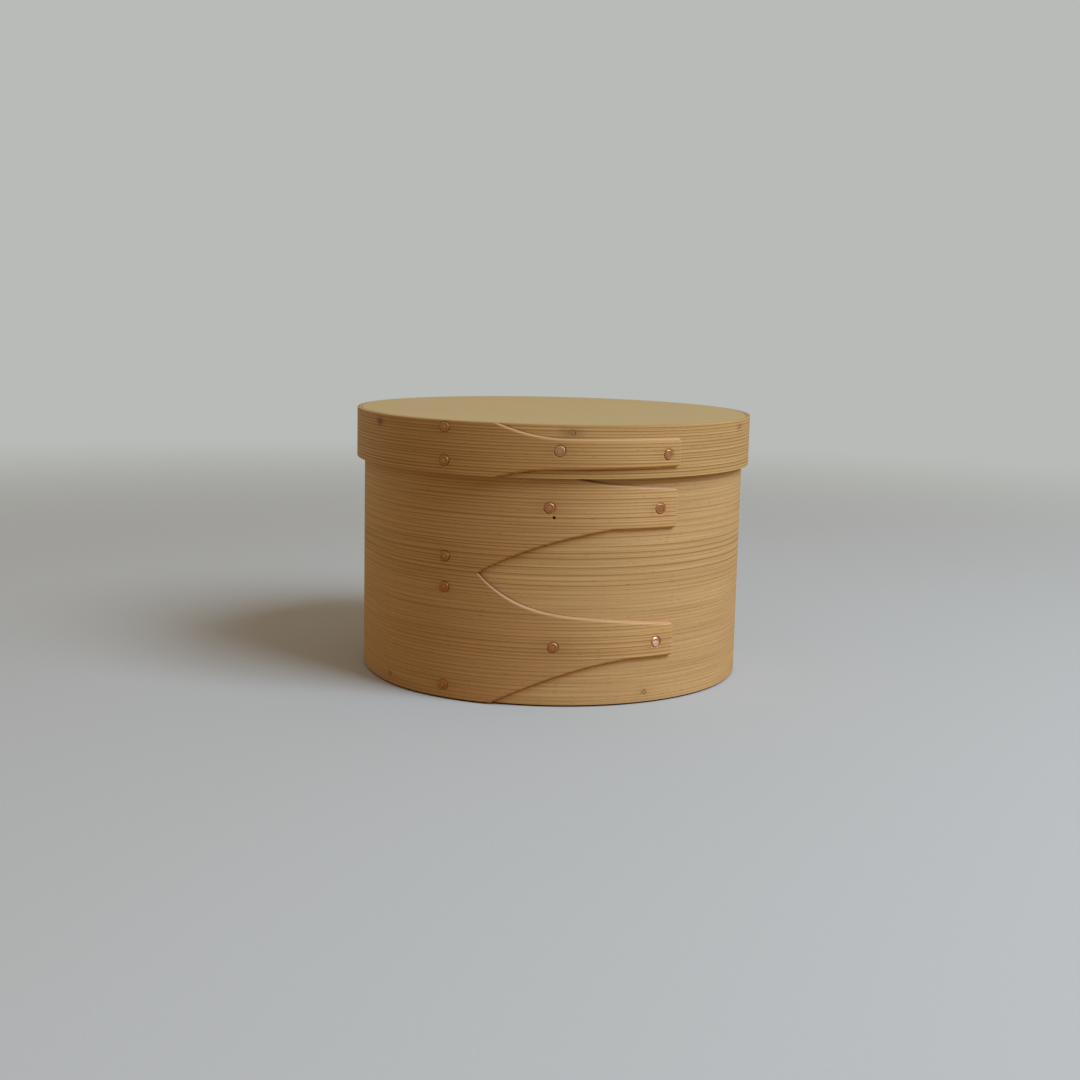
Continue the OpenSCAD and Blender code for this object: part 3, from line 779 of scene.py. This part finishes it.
# %% Count the rings and draw the fibres
Pattern = namedtuple("Pattern", "along across detail shift")       # size in mm, detail, and its own place
SWAY = Pattern(110.0, 30.0, 2.0, 3.7)      # the slow sway of the lines
TONE = Pattern(110.0, 9.0, 2.0, 1.9)       # patches of slightly deeper colour
FIBRE = Pattern(60.0, 0.4, 3.0, 5.3)       # fibre bundles, drawn as coarse as they need to show
FLECK = Pattern(3.2, 0.32, 1.0, 9.1)       # cut resin ducts, dark dashes, as coarse as they need to show
FLECK_FROM, FLECK_FULL = 0.7, 0.78         # a dash starts and is full at these heights of its noise
TONE_LEAST, TONE_MOST = 0.25, 0.75
YEAR_END = 0.93                            # share of a year at which its dark line breaks off


def softwood_figure(tree, place, sway_mm, *line_sets):
    """Latewood line, fibre, fleck and tone, each from 0 to 1, at a place (along, across, deep) in mm.

    A set of lines is what counts its rings, how sharp they are, and how dark the faintest and the
    strongest are."""
    noises = []
    for along, across, detail, shift in (SWAY, FIBRE, FLECK, TONE):
        spot = add(tree, "VectorMath", {0: place, 1: (1 / along, 1 / across, 0), 2: (shift, shift, 0)},
                   operation="MULTIPLY_ADD")
        noises.append(add(tree, "TexNoise", {"Vector": spot, "Scale": 1.0, "Detail": detail},
                          noise_dimensions="2D"))
    sway, fibre, fleck, tone = noises
    sway = add(tree, "MapRange", {"Value": sway, "To Min": -sway_mm, "To Max": sway_mm})
    rise = add(tree, "SeparateXYZ", {0: place}, out="Y")
    swayed = add(tree, "Math", {0: rise, 1: sway}, operation="ADD")
    line = 0.0
    for ring_number, sharp, faint, strong in line_sets:
        number = ring_number(tree, swayed)
        year, season = (add(tree, "Math", {0: number}, operation=part) for part in ("FLOOR", "FRACT"))
        luck = add(tree, "TexWhiteNoise", {"W": year}, noise_dimensions="1D")
        drawn = add(tree, "MapRange", {"Value": luck, "To Min": faint, "To Max": strong})
        dark = add(tree, "Math", {0: season, 1: sharp}, operation="POWER")
        ends = add(tree, "MapRange", {"Value": season, "From Min": YEAR_END, "From Max": 1.0,
                                      "To Min": drawn, "To Max": 0.0})
        dark = add(tree, "Math", {0: dark, 1: ends}, operation="MULTIPLY")
        line = add(tree, "Math", {0: dark, 1: line}, operation="MAXIMUM")
    fleck = add(tree, "MapRange", {"Value": fleck, "From Min": FLECK_FROM, "From Max": FLECK_FULL})
    tone = add(tree, "MapRange", {"Value": tone, "To Min": TONE_LEAST, "To Max": TONE_MOST})
    return line, fibre, fleck, tone


print("fibres are", FIBRE.across, "mm wide, and resin dashes", FLECK.along, "mm long")

# %% [markdown]
# ### Planed cypress strip
# The hoops are a pale, fine softwood like cypress, planed thin, steamed, bent and left with only a breath
# of oil, so the surface is satin: a broad soft sheen and no clear reflection. Latewood stands a hair above
# the softer springwood. Slanted cuts show paler, pinker wood, the lap has browned under many hands, and the
# wood round tacks and pegs is tinted. The body's strong lines lie at half its height, so its rings are
# counted along a curve through their heights. On the lap a finer, evener set of rings takes over, and the
# lid's are finer still.

# %% Count the rings of a strip
BODY_LINES = ((0, 0), (13.9, 11), (15.6, 12), (17.2, 13), (19.5, 15), (21.4, 16), (22.7, 17), (40.2, 31),
              (41.8, 32), (43.4, 33), (45.1, 34), (47.2, 35), (49.8, 36), (53.0, 37), (54.8, 38), (57.0, 39),
              (60.4, 40), (62.7, 41), (65.2, 42), (67.5, 43), (69.0, 44), (70.4, 45), (72.0, 46),
              (BODY_H, 62))                # height of a line on the body, mm, and its number
LAP_RING, LID_RING = (1.35, 2.4), (1.1, 1.8)           # mean ring width, mm, and how far the count drifts
DRIFT_RINGS = 5                            # the drift changes over this many rings


def body_rings(tree, up):
    part = add(tree, "Math", {0: up, 1: BODY_H}, operation="DIVIDE")
    count = add(tree, "FloatCurve", {"Value": part})
    curve = count.node.mapping.curves[0]
    while len(curve.points) < len(BODY_LINES):
        curve.points.new(0.5, 0.5)
    for point, (height, number) in zip(curve.points, BODY_LINES):
        point.location, point.handle_type = (height / BODY_H, number / BODY_LINES[-1][1]), "VECTOR"
    count.node.mapping.update()
    return add(tree, "Math", {0: count, 1: BODY_LINES[-1][1]}, operation="MULTIPLY")


def even_rings(width, drift):
    def rings(tree, across):
        spot = add(tree, "Math", {0: across, 1: DRIFT_RINGS * width}, operation="DIVIDE")
        wander = add(tree, "TexNoise", {"W": spot, "Scale": 1.0, "Detail": 1.0}, noise_dimensions="1D")
        even = add(tree, "Math", {0: across, 1: width}, operation="DIVIDE")
        return add(tree, "Math", {0: wander, 1: drift, 2: even}, operation="MULTIPLY_ADD")
    return rings


print("rings across the body:", BODY_LINES[-1][1], "and on its lap about", round(BODY_H / LAP_RING[0]))

# %% Draw the wood of a strip
STRIP_LEAN, STRIP_SWAY = 0.6, 0.4          # slant of the rings through the strip, and how far they sway, mm
FAINTEST = 0.6                             # the faintest line, as a share of the strongest
HANDLED = (-90.0, -45.0, 0.0, 31.0)        # along the lap, its brown starts, is full, wanes and ends, mm
FRESH_FROM, FRESH_TO = 6.0, 48.0           # the fingers are cleaner towards their tips, mm
STRAND_FROM, STRAND_FULL = 0.4, 0.66       # a dark strand starts and is full at these heights of the fibre
SATIN = {"To Min": 0.56, "To Max": 0.7}    # roughness of planed wood
FIBRE_RELIEF, RIPPLE = 0.4, 0.013          # a fibre stands up this share of a line, and a line this high, mm
STRIP_SHELL = {"IOR": 1.5, "Specular IOR Level": 0.35}


def cypress_strip(name, pale, height, clear, *line_sets):
    """A set of lines: what counts its rings, how sharp they are, and how dark off the lap and on it."""
    finish, tree = new_finish(name)
    spot = add(tree, "Attribute", out="Vector", attribute_name="strip")
    spot = add(tree, "VectorMath", {0: spot, "Scale": 1 / MM}, operation="SCALE")
    along, rise, deep = (add(tree, "SeparateXYZ", {0: spot}, out=axis) for axis in "XYZ")
    across = add(tree, "Math", {0: deep, 1: STRIP_LEAN, 2: rise}, operation="MULTIPLY_ADD")
    place = add(tree, "CombineXYZ", {0: along, 1: across, 2: deep})
    starts, full, wanes, ends = HANDLED
    lap = add(tree, "MapRange", {"Value": along, "From Min": starts, "From Max": full})
    sets = []
    for ring_number, sharp, far, near in line_sets:
        strong = add(tree, "MapRange", {"Value": lap, "To Min": far, "To Max": near})
        faint = add(tree, "Math", {0: strong, 1: FAINTEST}, operation="MULTIPLY")
        sets.append((ring_number, sharp, faint, strong))
    line, fibre, fleck, tone = softwood_figure(tree, place, STRIP_SWAY, *sets)
    up = add(tree, "Math", {0: rise, 1: height}, operation="DIVIDE")
    ramp = add(tree, "ValToRGB", {0: up})
    levels = ramp.node.color_ramp.elements
    while len(levels) < len(clear):
        levels.new(0.5)
    for step, (at, far, near) in zip(levels, clear):
        step.position, step.color = at, (far, near, 0, 1)
    far, near = (add(tree, "SeparateColor", {0: ramp}, out=part) for part in ("Red", "Green"))
    shown = add(tree, "MapRange", {"Value": lap, "To Min": far, "To Max": near})
    line = add(tree, "Math", {0: line, 1: shown}, operation="MULTIPLY")
    cut, bare, stain = (add(tree, "Attribute", out="Fac", attribute_name=mark)
                        for mark in ("cut", "bare", "stain"))
    handled = add(tree, "MapRange", {"Value": along, "From Min": wanes, "From Max": ends,
                                     "To Min": 1.0, "To Max": 0.0})
    handled = add(tree, "Math", {0: lap, 1: handled}, operation="MULTIPLY")
    strands = add(tree, "MapRange", {"Value": fibre, "From Min": STRAND_FROM, "From Max": STRAND_FULL})
    fresh = add(tree, "MapRange", {"Value": along, "From Min": FRESH_FROM, "From Max": FRESH_TO})
    # The bare colour is bare wood with a painted highlight; the darkest colour is painted shade with dust in
    # creases, bores and under the foot, and the tint round tacks and pegs.
    colour = blend_colours(tree, linear(pale), ("#B59059", tone, 0.8), ("#E2B77C", fresh, 0.36),
                           ("#8E4E10", handled, 0.28), ("#7E5006", line, 1.3), ("#886535", strands, 0.4),
                           ("#6E4310", fleck, 0.4), ("#D3A27A", cut, 0.65), ("#E9CDA0", bare, 0.8),
                           ("#5A2E02", stain, 0.85))
    rough = add(tree, "MapRange", {"Value": fibre, **SATIN})
    relief = add(tree, "Math", {0: fibre, 1: FIBRE_RELIEF, 2: line}, operation="MULTIPLY_ADD")
    end_finish(tree, colour, rough, relief, RIPPLE, STRIP_SHELL)
    return finish


print("a line stands", RIPPLE, "mm above the wood between lines")

# %% Finish the strips
BODY_PALE, LID_PALE = "#D1B082", "#CBAB78"
BODY_CLEAR = ((0, 0.35, 0.5), (0.15, 0.4, 0.6), (0.19, 0.5, 0.8), (0.245, 0.5, 0.8), (0.28, 0.4, 0.65),
              (0.43, 0.5, 0.65), (0.46, 1.0, 1.0), (0.6, 1.0, 1.0), (0.66, 0.6, 0.85), (0.78, 0.55, 0.85),
              (1, 0.5, 0.75))              # share of the height, how clear lines are off the lap and on it
LID_CLEAR = ((0, 1.0, 1.0), (1, 0.8, 0.8))
# Sets of lines: what counts them, how sharp they are, and how dark off the lap and on it.
body_sets = (body_rings, 6.0, 1.15, 0.3), (even_rings(*LAP_RING), 4.2, 0.3, 1.25)
lid_set = (even_rings(*LID_RING), 2.8, 1.08, 1.05)
for piece, finish in (
        (body_piece, cypress_strip("planed_cypress_strip", BODY_PALE, BODY_H, BODY_CLEAR, *body_sets)),
        (lid_piece, cypress_strip("planed_cypress_lid_strip", LID_PALE, LID_H, LID_CLEAR, lid_set))):
    piece.data.materials.append(finish)
    print(piece.name, "has", len(finish.node_tree.nodes), "nodes in its finish")

# %% [markdown]
# ### Planed cypress boards
# The base and the lid's top are discs of the same wood, cut from a wider plank and planed flat. Their
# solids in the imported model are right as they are, with eased rims and bores for the pegs, so they stay and
# only get a finish. The grain runs from left to right. It is drawn through the solid, so the rim shows the
# ends of the same rings.

# %% Finish the boards
BOARD_RING = (1.7, 3.5)                    # mean width of a ring, mm, and how far the count drifts
BOARD_LEAN, BOARD_SWAY = 0.25, 1.4         # slant of the rings through the board, and how far they sway, mm


def cypress_board(name):
    finish, tree = new_finish(name)
    spot = add(tree, "TexCoord", out="Object")
    spot = add(tree, "VectorMath", {0: spot, "Scale": 1 / MM}, operation="SCALE")
    x, y, z = (add(tree, "SeparateXYZ", {0: spot}, out=axis) for axis in "XYZ")
    across = add(tree, "Math", {0: z, 1: BOARD_LEAN, 2: y}, operation="MULTIPLY_ADD")
    place = add(tree, "CombineXYZ", {0: x, 1: across, 2: z})
    lines = (even_rings(*BOARD_RING), 5.0, 0.3, 1.0)   # how sharp, and how dark at least and at most
    line, fibre, fleck, tone = softwood_figure(tree, place, BOARD_SWAY, lines)
    colour = blend_colours(tree, linear("#BEA573"), ("#B1955E", tone, 0.8), ("#8E7040", line, 0.5),
                           ("#9C8350", fibre, 0.3), ("#7E5F30", fleck, 0.3))
    rough = add(tree, "MapRange", {"Value": fibre, **SATIN})
    relief = add(tree, "Math", {0: fibre, 1: FIBRE_RELIEF, 2: line}, operation="MULTIPLY_ADD")
    end_finish(tree, colour, rough, relief, RIPPLE, {"IOR": 1.5})
    return finish


board_finish = cypress_board("planed_cypress_board")
for node in ("base_board", "lid_board"):
    disc = frame["nodes"][node]
    disc.data.materials.clear()
    disc.data.materials.append(board_finish)
    print(node, "finished")

# %% [markdown]
# ## Tacks and pegs
# A tack starts with a round, slightly domed head. The hammer leaves flats on it and a ring-shaped hollow,
# spreads its rim unevenly and turns the point over on an iron inside the box, which clinches the layers. A
# peg is a thin, nearly round stick of wood that fills its bore, was driven in and pared off flush. Both are
# built as rings from pole to pole round their own axis.

# %% Set rings of points on a hoop
def ring_faces(rings, count):
    """Faces over so many rings of count points, closed by a single point at either end."""
    faces, first = [], 1
    for _ in range(rings - 1):
        for i in range(count):
            j = (i + 1) % count
            faces.append((first + i, first + j, first + count + j, first + count + i))
        first += count
    faces += [(0, 1 + (i + 1) % count, 1 + i) for i in range(count)]
    faces += [(first + count, first + i, first + (i + 1) % count) for i in range(count)]
    return faces


def ring_piece(name, rings, hoop, angle, up, skin_r, body_name, node):
    """A closed piece from rings of (side, up, out) points in mm; the end rings are single points."""
    faces = ring_faces(len(rings) - 2, len(rings[1]))
    side, rise, out = np.vstack(rings).T
    place = np.column_stack([np.cos(angle) * side + np.sin(angle) * (skin_r + out),
                             np.sin(angle) * side - np.cos(angle) * (skin_r + out), up + rise])
    return new_piece(name, (place + hoop.base) * MM, faces, body_name, node)


print("three rings of eight points make", len(ring_faces(3, 8)), "faces")

# %% Shape a tack
HEAD_R, SHANK_R, CLINCH_R = 1.9, 0.62, 1.1
HEAD_POINTS = 40
DOME = ((0.25, 0.72, 0.1), (0.46, 0.74, 0.25), (0.56, 0.62, 0.9), (0.64, 0.74, 0.9), (0.71, 1.0, 0.15),
        (0.77, 0.98, 0.0), (0.85, 0.75, 0.1), (0.93, 0.4, 0.4), (0.99, 0.0, 0.8),
        (1.0, -0.4, 1.0))                  # rings of a head: shares of its radius and height, and how brown
UNDER_HEAD = ((0.9 * HEAD_R, 0.0), (SHANK_R, 0.02))    # radius, and how far below the seat, mm
LAYERS = 2 * STRIP + LAP_GAP               # what a clinched tack passes through, mm
CLINCH = ((SHANK_R, 0.5, 1.0), (0.97 * CLINCH_R, 0.14, 0.85), (CLINCH_R, 0.06, 0.85),
          (0.8 * CLINCH_R, 0.01, 0.8))     # radius, height over the inner face, mm, and how far from round
DRIVEN_LENGTH = 6.5                        # of a tack that ends in the edge of a board, mm
DRIVEN_POINT = ((SHANK_R, 2.0), (0.5 * SHANK_R, 0.7))  # radius, and how far from its end, mm
UNEVEN, LOBES = 0.05, (1, 1.5, 2.5)        # how far a rim is from round, and the waves that make it so
FLATS, FLAT_SLOPE, FLAT_TOP = 3, (0.03, 0.12), (0.85, 1.0)         # hammer marks: number, slope, height left
SPREAD = {"body_tack_6": 1.14, "body_tack_8": 0.86, "lid_tack_4": 0.82}      # heads left wider or narrower


def hammered_tack(name, tack, hoop, body_name, node, seed, lean):
    draw = np.random.default_rng(seed)
    around = np.linspace(0, TURN, HEAD_POINTS, endpoint=False)
    waves = sum(abs(np.cos(lobe * around + draw.uniform(0, TURN))) for lobe in LOBES)
    uneven = 1 - UNEVEN * waves / len(LOBES)
    proud = HEAD_THICK - HEAD_SUNK
    flats = [(draw.uniform(*FLAT_SLOPE), draw.uniform(0, TURN), draw.uniform(*FLAT_TOP))
             for _ in range(FLATS)]
    lean_room = HEAD_R * math.hypot(*lean)

    def hammered(side, rise, height):
        for slope, heading, top in flats:
            flat = proud * top + slope * (side * np.cos(heading) + rise * np.sin(heading))
            height = np.minimum(height, flat)
        return height + lean[0] * side + lean[1] * rise - lean_room - (tack.sunk - HEAD_SUNK)

    def ring(radius, out, squash=1.0):
        across = radius * np.cos(around), squash * radius * np.sin(around)
        return np.column_stack([*across, np.full(HEAD_POINTS, out)])

    rings = []
    for share, height, _ in DOME:
        side, rise = (HEAD_R * share * uneven * wave(around) for wave in (np.cos, np.sin))
        side = side * SPREAD.get(node, 1.0)
        out = hammered(side, rise, np.full(HEAD_POINTS, proud * height))
        rings.append(np.column_stack([side, rise, out]))
    pole = [[0, 0, float(rings[0][:, 2].mean())]]
    rings += [ring(radius, -tack.sunk - below) for radius, below in UNDER_HEAD]
    if tack.driven:
        rings += [ring(radius, left - DRIVEN_LENGTH) for radius, left in DRIVEN_POINT]
        end = [[0, 0, -DRIVEN_LENGTH]]
    else:
        rings += [ring(radius, over - LAYERS, squash) for radius, over, squash in CLINCH]
        end = [[0, 0, CLINCH[-1][1] - LAYERS]]
    rings, angle = [pole, *rings, end], tack.along / hoop.lap_r
    return ring_piece(name, rings, hoop, angle, tack.up, hoop.lap_r, body_name, node)


print("a head has", len(DOME), "rings, and is", 2 * HEAD_R, "mm across")

# %% Hammer the tacks in
TO_LIGHT, LEAN = (0.0, -0.2), 0.03         # lean of the slanting tack, and the most of the others
HAMMER_SEED, LEAN_SEED = 20, 40
RUBBED_AND_GLINT = {"body_tack": (0, 0, 0, 0, 0.12, 0.1, 0.12, 1),
        "lid_tack": (0.05, 0, 0.28, 0.2)}  # how bright each head is: rubbed by hands, and partly a painted reflection of the window, fully on the eighth body tack

tack_pieces, gaps = [], 0
for hoop, tacks, body_name, word in (
        (body, body_tacks, "box", "body_tack"),
        (lid, lid_tacks, "lid", "lid_tack")):
    for number, tack in enumerate(tacks, 1):
        draw = np.random.default_rng(LEAN_SEED + number + len(word))
        lean = TO_LIGHT if tack is SKEW_TACK else draw.uniform(-LEAN, LEAN, 2)
        piece, open_edges = hammered_tack(f"hammered_{word}_{number}", tack, hoop, body_name,
                                          f"{word}_{number}", number + HAMMER_SEED * len(word), lean)
        count = len(piece.data.vertices)
        brown = np.ones(count)
        on_head = np.repeat([ring[2] for ring in DOME], HEAD_POINTS)
        brown[:1 + len(on_head)] = [DOME[0][2], *on_head]
        keep_marks(piece, worn=np.full(count, RUBBED_AND_GLINT[word][number - 1], float), brown=brown)
        tack_pieces.append(piece)
        gaps += open_edges
print(len(tack_pieces), "tacks,", gaps, "open edges")

# %% Drive the pegs
PEG_R, PEG_BITE = 0.98, 6.0                # radius of a peg, and how far it goes into its board, mm
PEG_POINTS, PEG_SEED = 32, 7
PEG_ROWS = ((0.4, -0.01), (0.8, -0.015), (0.96, -0.02), (0.99, -0.06), (0.98, -0.5),
            (0.95, -1.4))                  # share of the radius, and how far out from the skin, mm
PEG_POINT = ((0.86, 1.2), (0.5, 0.3))      # the same at its point, from the very end, mm
PEG_TURN, PEG_FLAT = (-0.9, -0.2), (0.9, 0.97)         # how its rings slant, radians, and how far from round
PEG_UNEVEN, PEG_LOBES = 0.04, 3
OILED = {"lid_peg_1": 0.4, "lid_peg_2": 0.4, "lid_peg_6": 1.0, "base_peg_1": 0.3}  # ends that drank more oil
BASE_BOARD_R, LID_BOARD_R = 70.9, 73.5


def driven_peg(name, hoop, angle, up, board_r, body_name, node, seed):
    draw = np.random.default_rng(seed)
    skin_r = float(outer_face(hoop.r, angle + (TURN if angle < CLIMB_TOP else 0)))
    length = skin_r - board_r + PEG_BITE
    around = np.linspace(0, TURN, PEG_POINTS, endpoint=False)
    turned = draw.uniform(*PEG_TURN)
    wide = np.cos(around) * draw.uniform(*PEG_FLAT)
    wide = wide * (1 - PEG_UNEVEN * np.cos(PEG_LOBES * around + draw.uniform(0, TURN)))
    side = wide * np.cos(turned) - np.sin(around) * np.sin(turned)
    rise = wide * np.sin(turned) + np.sin(around) * np.cos(turned)
    rows = [*PEG_ROWS, *((share, left - length) for share, left in PEG_POINT)]
    rings = [np.column_stack([PEG_R * share * side, PEG_R * share * rise, np.full(PEG_POINTS, out)])
             for share, out in rows]
    rings = [[[0, 0, PEG_ROWS[0][1]]], *rings, [[0, 0, -length]]]
    piece, open_edges = ring_piece(name, rings, hoop, angle, up, skin_r, body_name, node)
    across = np.concatenate([[0], *(PEG_R * share * wide for share, _ in rows), [0]]) + draw.uniform(0, 1)
    keep_marks(piece, across=across, oiled=np.full(len(across), OILED.get(node, 0.0)))
    return piece, open_edges


peg_pieces, gaps = [], 0
for hoop, angles, up, board_r, body_name, word in (
        (body, base_peg_angles, BASE_PEG_UP, BASE_BOARD_R, "box", "base_peg"),
        (lid, lid_peg_angles, LID_PEG_UP, LID_BOARD_R, "lid", "lid_peg")):
    for number, angle in enumerate(angles, 1):
        piece, open_edges = driven_peg(f"pared_{word}_{number}", hoop, angle, up, board_r, body_name,
                                       f"{word}_{number}", number + PEG_SEED * len(word))
        peg_pieces.append(piece)
        gaps += open_edges
print(len(peg_pieces), "pegs,", gaps, "open edges")

# %% [markdown]
# ### Hammered copper, and the end grain of a peg
# Copper tacks are bright when driven and turn brown in air within weeks, first in the ring-shaped hollow of
# the head and round its rim. Flats and ridges that hands rub stay brighter, and some heads also carry a
# painted pinkish reflection of the window, the eighth on the body most of all. So the metal is a mottle of
# pink copper and brown, rougher where it is browner, with a fine dented surface. The pegs show end grain,
# which drinks oil and goes dark: their rings are short strokes, and their pores are fine dots.

# %% Finish the tacks
MOTTLE, DENT = 0.9, 0.5                    # sizes of the copper's mottle and of its dents, mm
DENT_DEEP = 0.015                          # depth of a dent, mm
MOTTLE_FROM, MOTTLE_FULL = 0.35, 0.65      # the brown starts and is full at these heights of its noise
COPPER_ROUGH = {"To Min": 0.38, "To Max": 0.5}


def tarnished_copper(name):
    finish, tree = new_finish(name)
    spot = add(tree, "TexCoord", out="Object")
    mottle, dents = (add(tree, "TexNoise", {"Vector": spot, "Scale": 1 / (size * MM), "Detail": detail})
                     for size, detail in ((MOTTLE, 3.0), (DENT, 1.0)))
    brown = add(tree, "MapRange", {"Value": mottle, "From Min": MOTTLE_FROM, "From Max": MOTTLE_FULL})
    worn, hollow = (add(tree, "Attribute", out="Fac", attribute_name=mark) for mark in ("worn", "brown"))
    # The last layer is rubbed copper and a painted pinkish reflection of the window.
    colour = blend_colours(tree, linear("#C38B57"), ("#9A6338", brown, 0.6), ("#5E3C1E", hollow, 0.6),
                           ("#E7BCA7", worn, 1.0))
    rough = add(tree, "MapRange", {"Value": brown, **COPPER_ROUGH})
    end_finish(tree, colour, rough, dents, DENT_DEEP, {"Metallic": 1.0})
    return finish


copper = tarnished_copper("hammered_copper")
for piece in tack_pieces:
    piece.data.materials.append(copper)
print("tacks finished")

# %% Finish the pegs
PORE, PORE_DEEP = 0.22, 0.03               # size and depth of a pore, mm
PORE_FROM, PORE_FULL = 0.4, 0.65           # a pore starts and is dark at these heights of its noise
END_RING = 1.0                             # width of a ring in the end of a peg, mm
STROKE_FROM, STROKE_FULL = 0.5, 0.75       # shares of a ring at which its dark stroke starts and is full
PEG_ROUGH = {"To Min": 0.6, "To Max": 0.75}


def peg_end_grain(name):
    finish, tree = new_finish(name)
    spot = add(tree, "TexCoord", out="Object")
    pores = add(tree, "TexNoise", {"Vector": spot, "Scale": 1 / (PORE * MM), "Detail": 2.0})
    dots = add(tree, "MapRange", {"Value": pores, "From Min": PORE_FROM, "From Max": PORE_FULL})
    across, oiled = (add(tree, "Attribute", out="Fac", attribute_name=mark) for mark in ("across", "oiled"))
    number = add(tree, "Math", {0: across, 1: END_RING}, operation="DIVIDE")
    season = add(tree, "Math", {0: number}, operation="FRACT")
    strokes = add(tree, "MapRange", {"Value": season, "From Min": STROKE_FROM, "From Max": STROKE_FULL})
    colour = blend_colours(tree, linear("#BE9862"), ("#4A2F16", strokes, 0.7), ("#4A321B", dots, 0.3),
                           ("#53351A", oiled, 0.7))
    rough = add(tree, "MapRange", {"Value": dots, **PEG_ROUGH})
    end_finish(tree, colour, rough, pores, PORE_DEEP, {"IOR": 1.5})
    return finish


end_grain = peg_end_grain("peg_end_grain")
for piece in peg_pieces:
    piece.data.materials.append(end_grain)
print("pegs finished")

# %% [markdown]
# ## Floor and light
# The box stands on a plain pale table by a window: one large soft light comes from the right, and the rest
# of the room fills the shade with a dim warm light. A large area lamp is the window. The world is the room,
# and what the camera sees of it is a plain pale grey, told apart by the kind of ray, so the background
# doesn't light the box. In the same way the paper on the table is grey to the camera and throws a warm
# light back.

# %% Lay the floor
FLOOR_HALF = 3.0                           # half the table's side, m
FADE_FROM, FADE_TO = 0.3, 1.0              # it melts into the background between these distances, m
TOOTH = 1.2                                # grain of the paper, drawn as coarse as it needs to show, mm


def matte_paper(name):
    finish, tree = new_finish(name)
    spot = add(tree, "TexCoord", out="Object")
    tooth = add(tree, "TexNoise", {"Vector": spot, "Scale": 1 / (TOOTH * MM), "Detail": 2.0})
    colour = blend_colours(tree, linear("#BCC0C2"), ("#B2B6B8", tooth, 0.5))
    seen = add(tree, "LightPath", out="Is Camera Ray")
    colour = add(tree, "Mix", {0: seen, 6: linear("#B8996A"), 7: colour}, out=2, data_type="RGBA")
    paper = add(tree, "BsdfPrincipled", {"Base Color": colour, "Roughness": 0.9, "Specular IOR Level": 0.2})
    away = add(tree, "VectorMath", {0: spot}, out="Value", operation="LENGTH")
    fade = add(tree, "MapRange", {"Value": away, "From Min": FADE_FROM, "From Max": FADE_TO},
               interpolation_type="SMOOTHSTEP")
    faded = add(tree, "MixShader", {0: fade, 1: paper, 2: add(tree, "BsdfTransparent")})
    add(tree, "OutputMaterial", {"Surface": faded})
    return finish


sheet = bpy.data.meshes.new("table")
corners = [(x * FLOOR_HALF, y * FLOOR_HALF, 0) for x, y in ((-1, -1), (1, -1), (1, 1), (-1, 1))]
sheet.from_pydata(corners, [], [(0, 1, 2, 3)])
table = set_out("table", sheet)
table.data.materials.append(matte_paper("matte_paper"))
print("table", 2 * FLOOR_HALF, "m wide")

# %% Light it
WINDOW_ROUND, WINDOW_RISE = math.radians(57), math.radians(43)     # from the front to the right, and upwards
WINDOW_AWAY, WINDOW_SIDE, WINDOW_WATTS = 1.5, 0.8, 22.4            # m, m and W
towards = Vector((math.sin(WINDOW_ROUND) * math.cos(WINDOW_RISE),
                  -math.cos(WINDOW_ROUND) * math.cos(WINDOW_RISE), math.sin(WINDOW_RISE)))
pane = bpy.data.lights.new("window", "AREA")
pane.shape, pane.size, pane.energy = "SQUARE", WINDOW_SIDE, WINDOW_WATTS
pane.color = linear("#E1F0FF")[:3]
window = set_out("window", pane)
window.location = Vector((0, 0, BODY_H * MM / 2)) + towards * WINDOW_AWAY
window.rotation_euler = (-towards).to_track_quat("-Z", "Y").to_euler()

room = bpy.data.worlds.new("room")
bpy.context.scene.world = room
room.use_nodes = True
tree = room.node_tree
tree.nodes.clear()
seen = add(tree, "LightPath", out="Is Camera Ray")
for kind in ("Is Glossy Ray", "Is Transmission Ray"):
    seen = add(tree, "Math", {0: seen, 1: add(tree, "LightPath", out=kind)}, operation="MAXIMUM")
fill, shown = (add(tree, "Background", {"Color": linear(code), "Strength": 1.0})
               for code in ("#AA977F", "#B8BBB7"))
add(tree, "OutputWorld", {"Surface": add(tree, "MixShader", {0: seen, 1: fill, 2: shown})})
bpy.context.scene.view_settings.view_transform = "Standard"
print("window", WINDOW_WATTS, "W")

# %% [markdown]
# ## Update the scene

# %% Update the scene
bpy.context.view_layer.update()
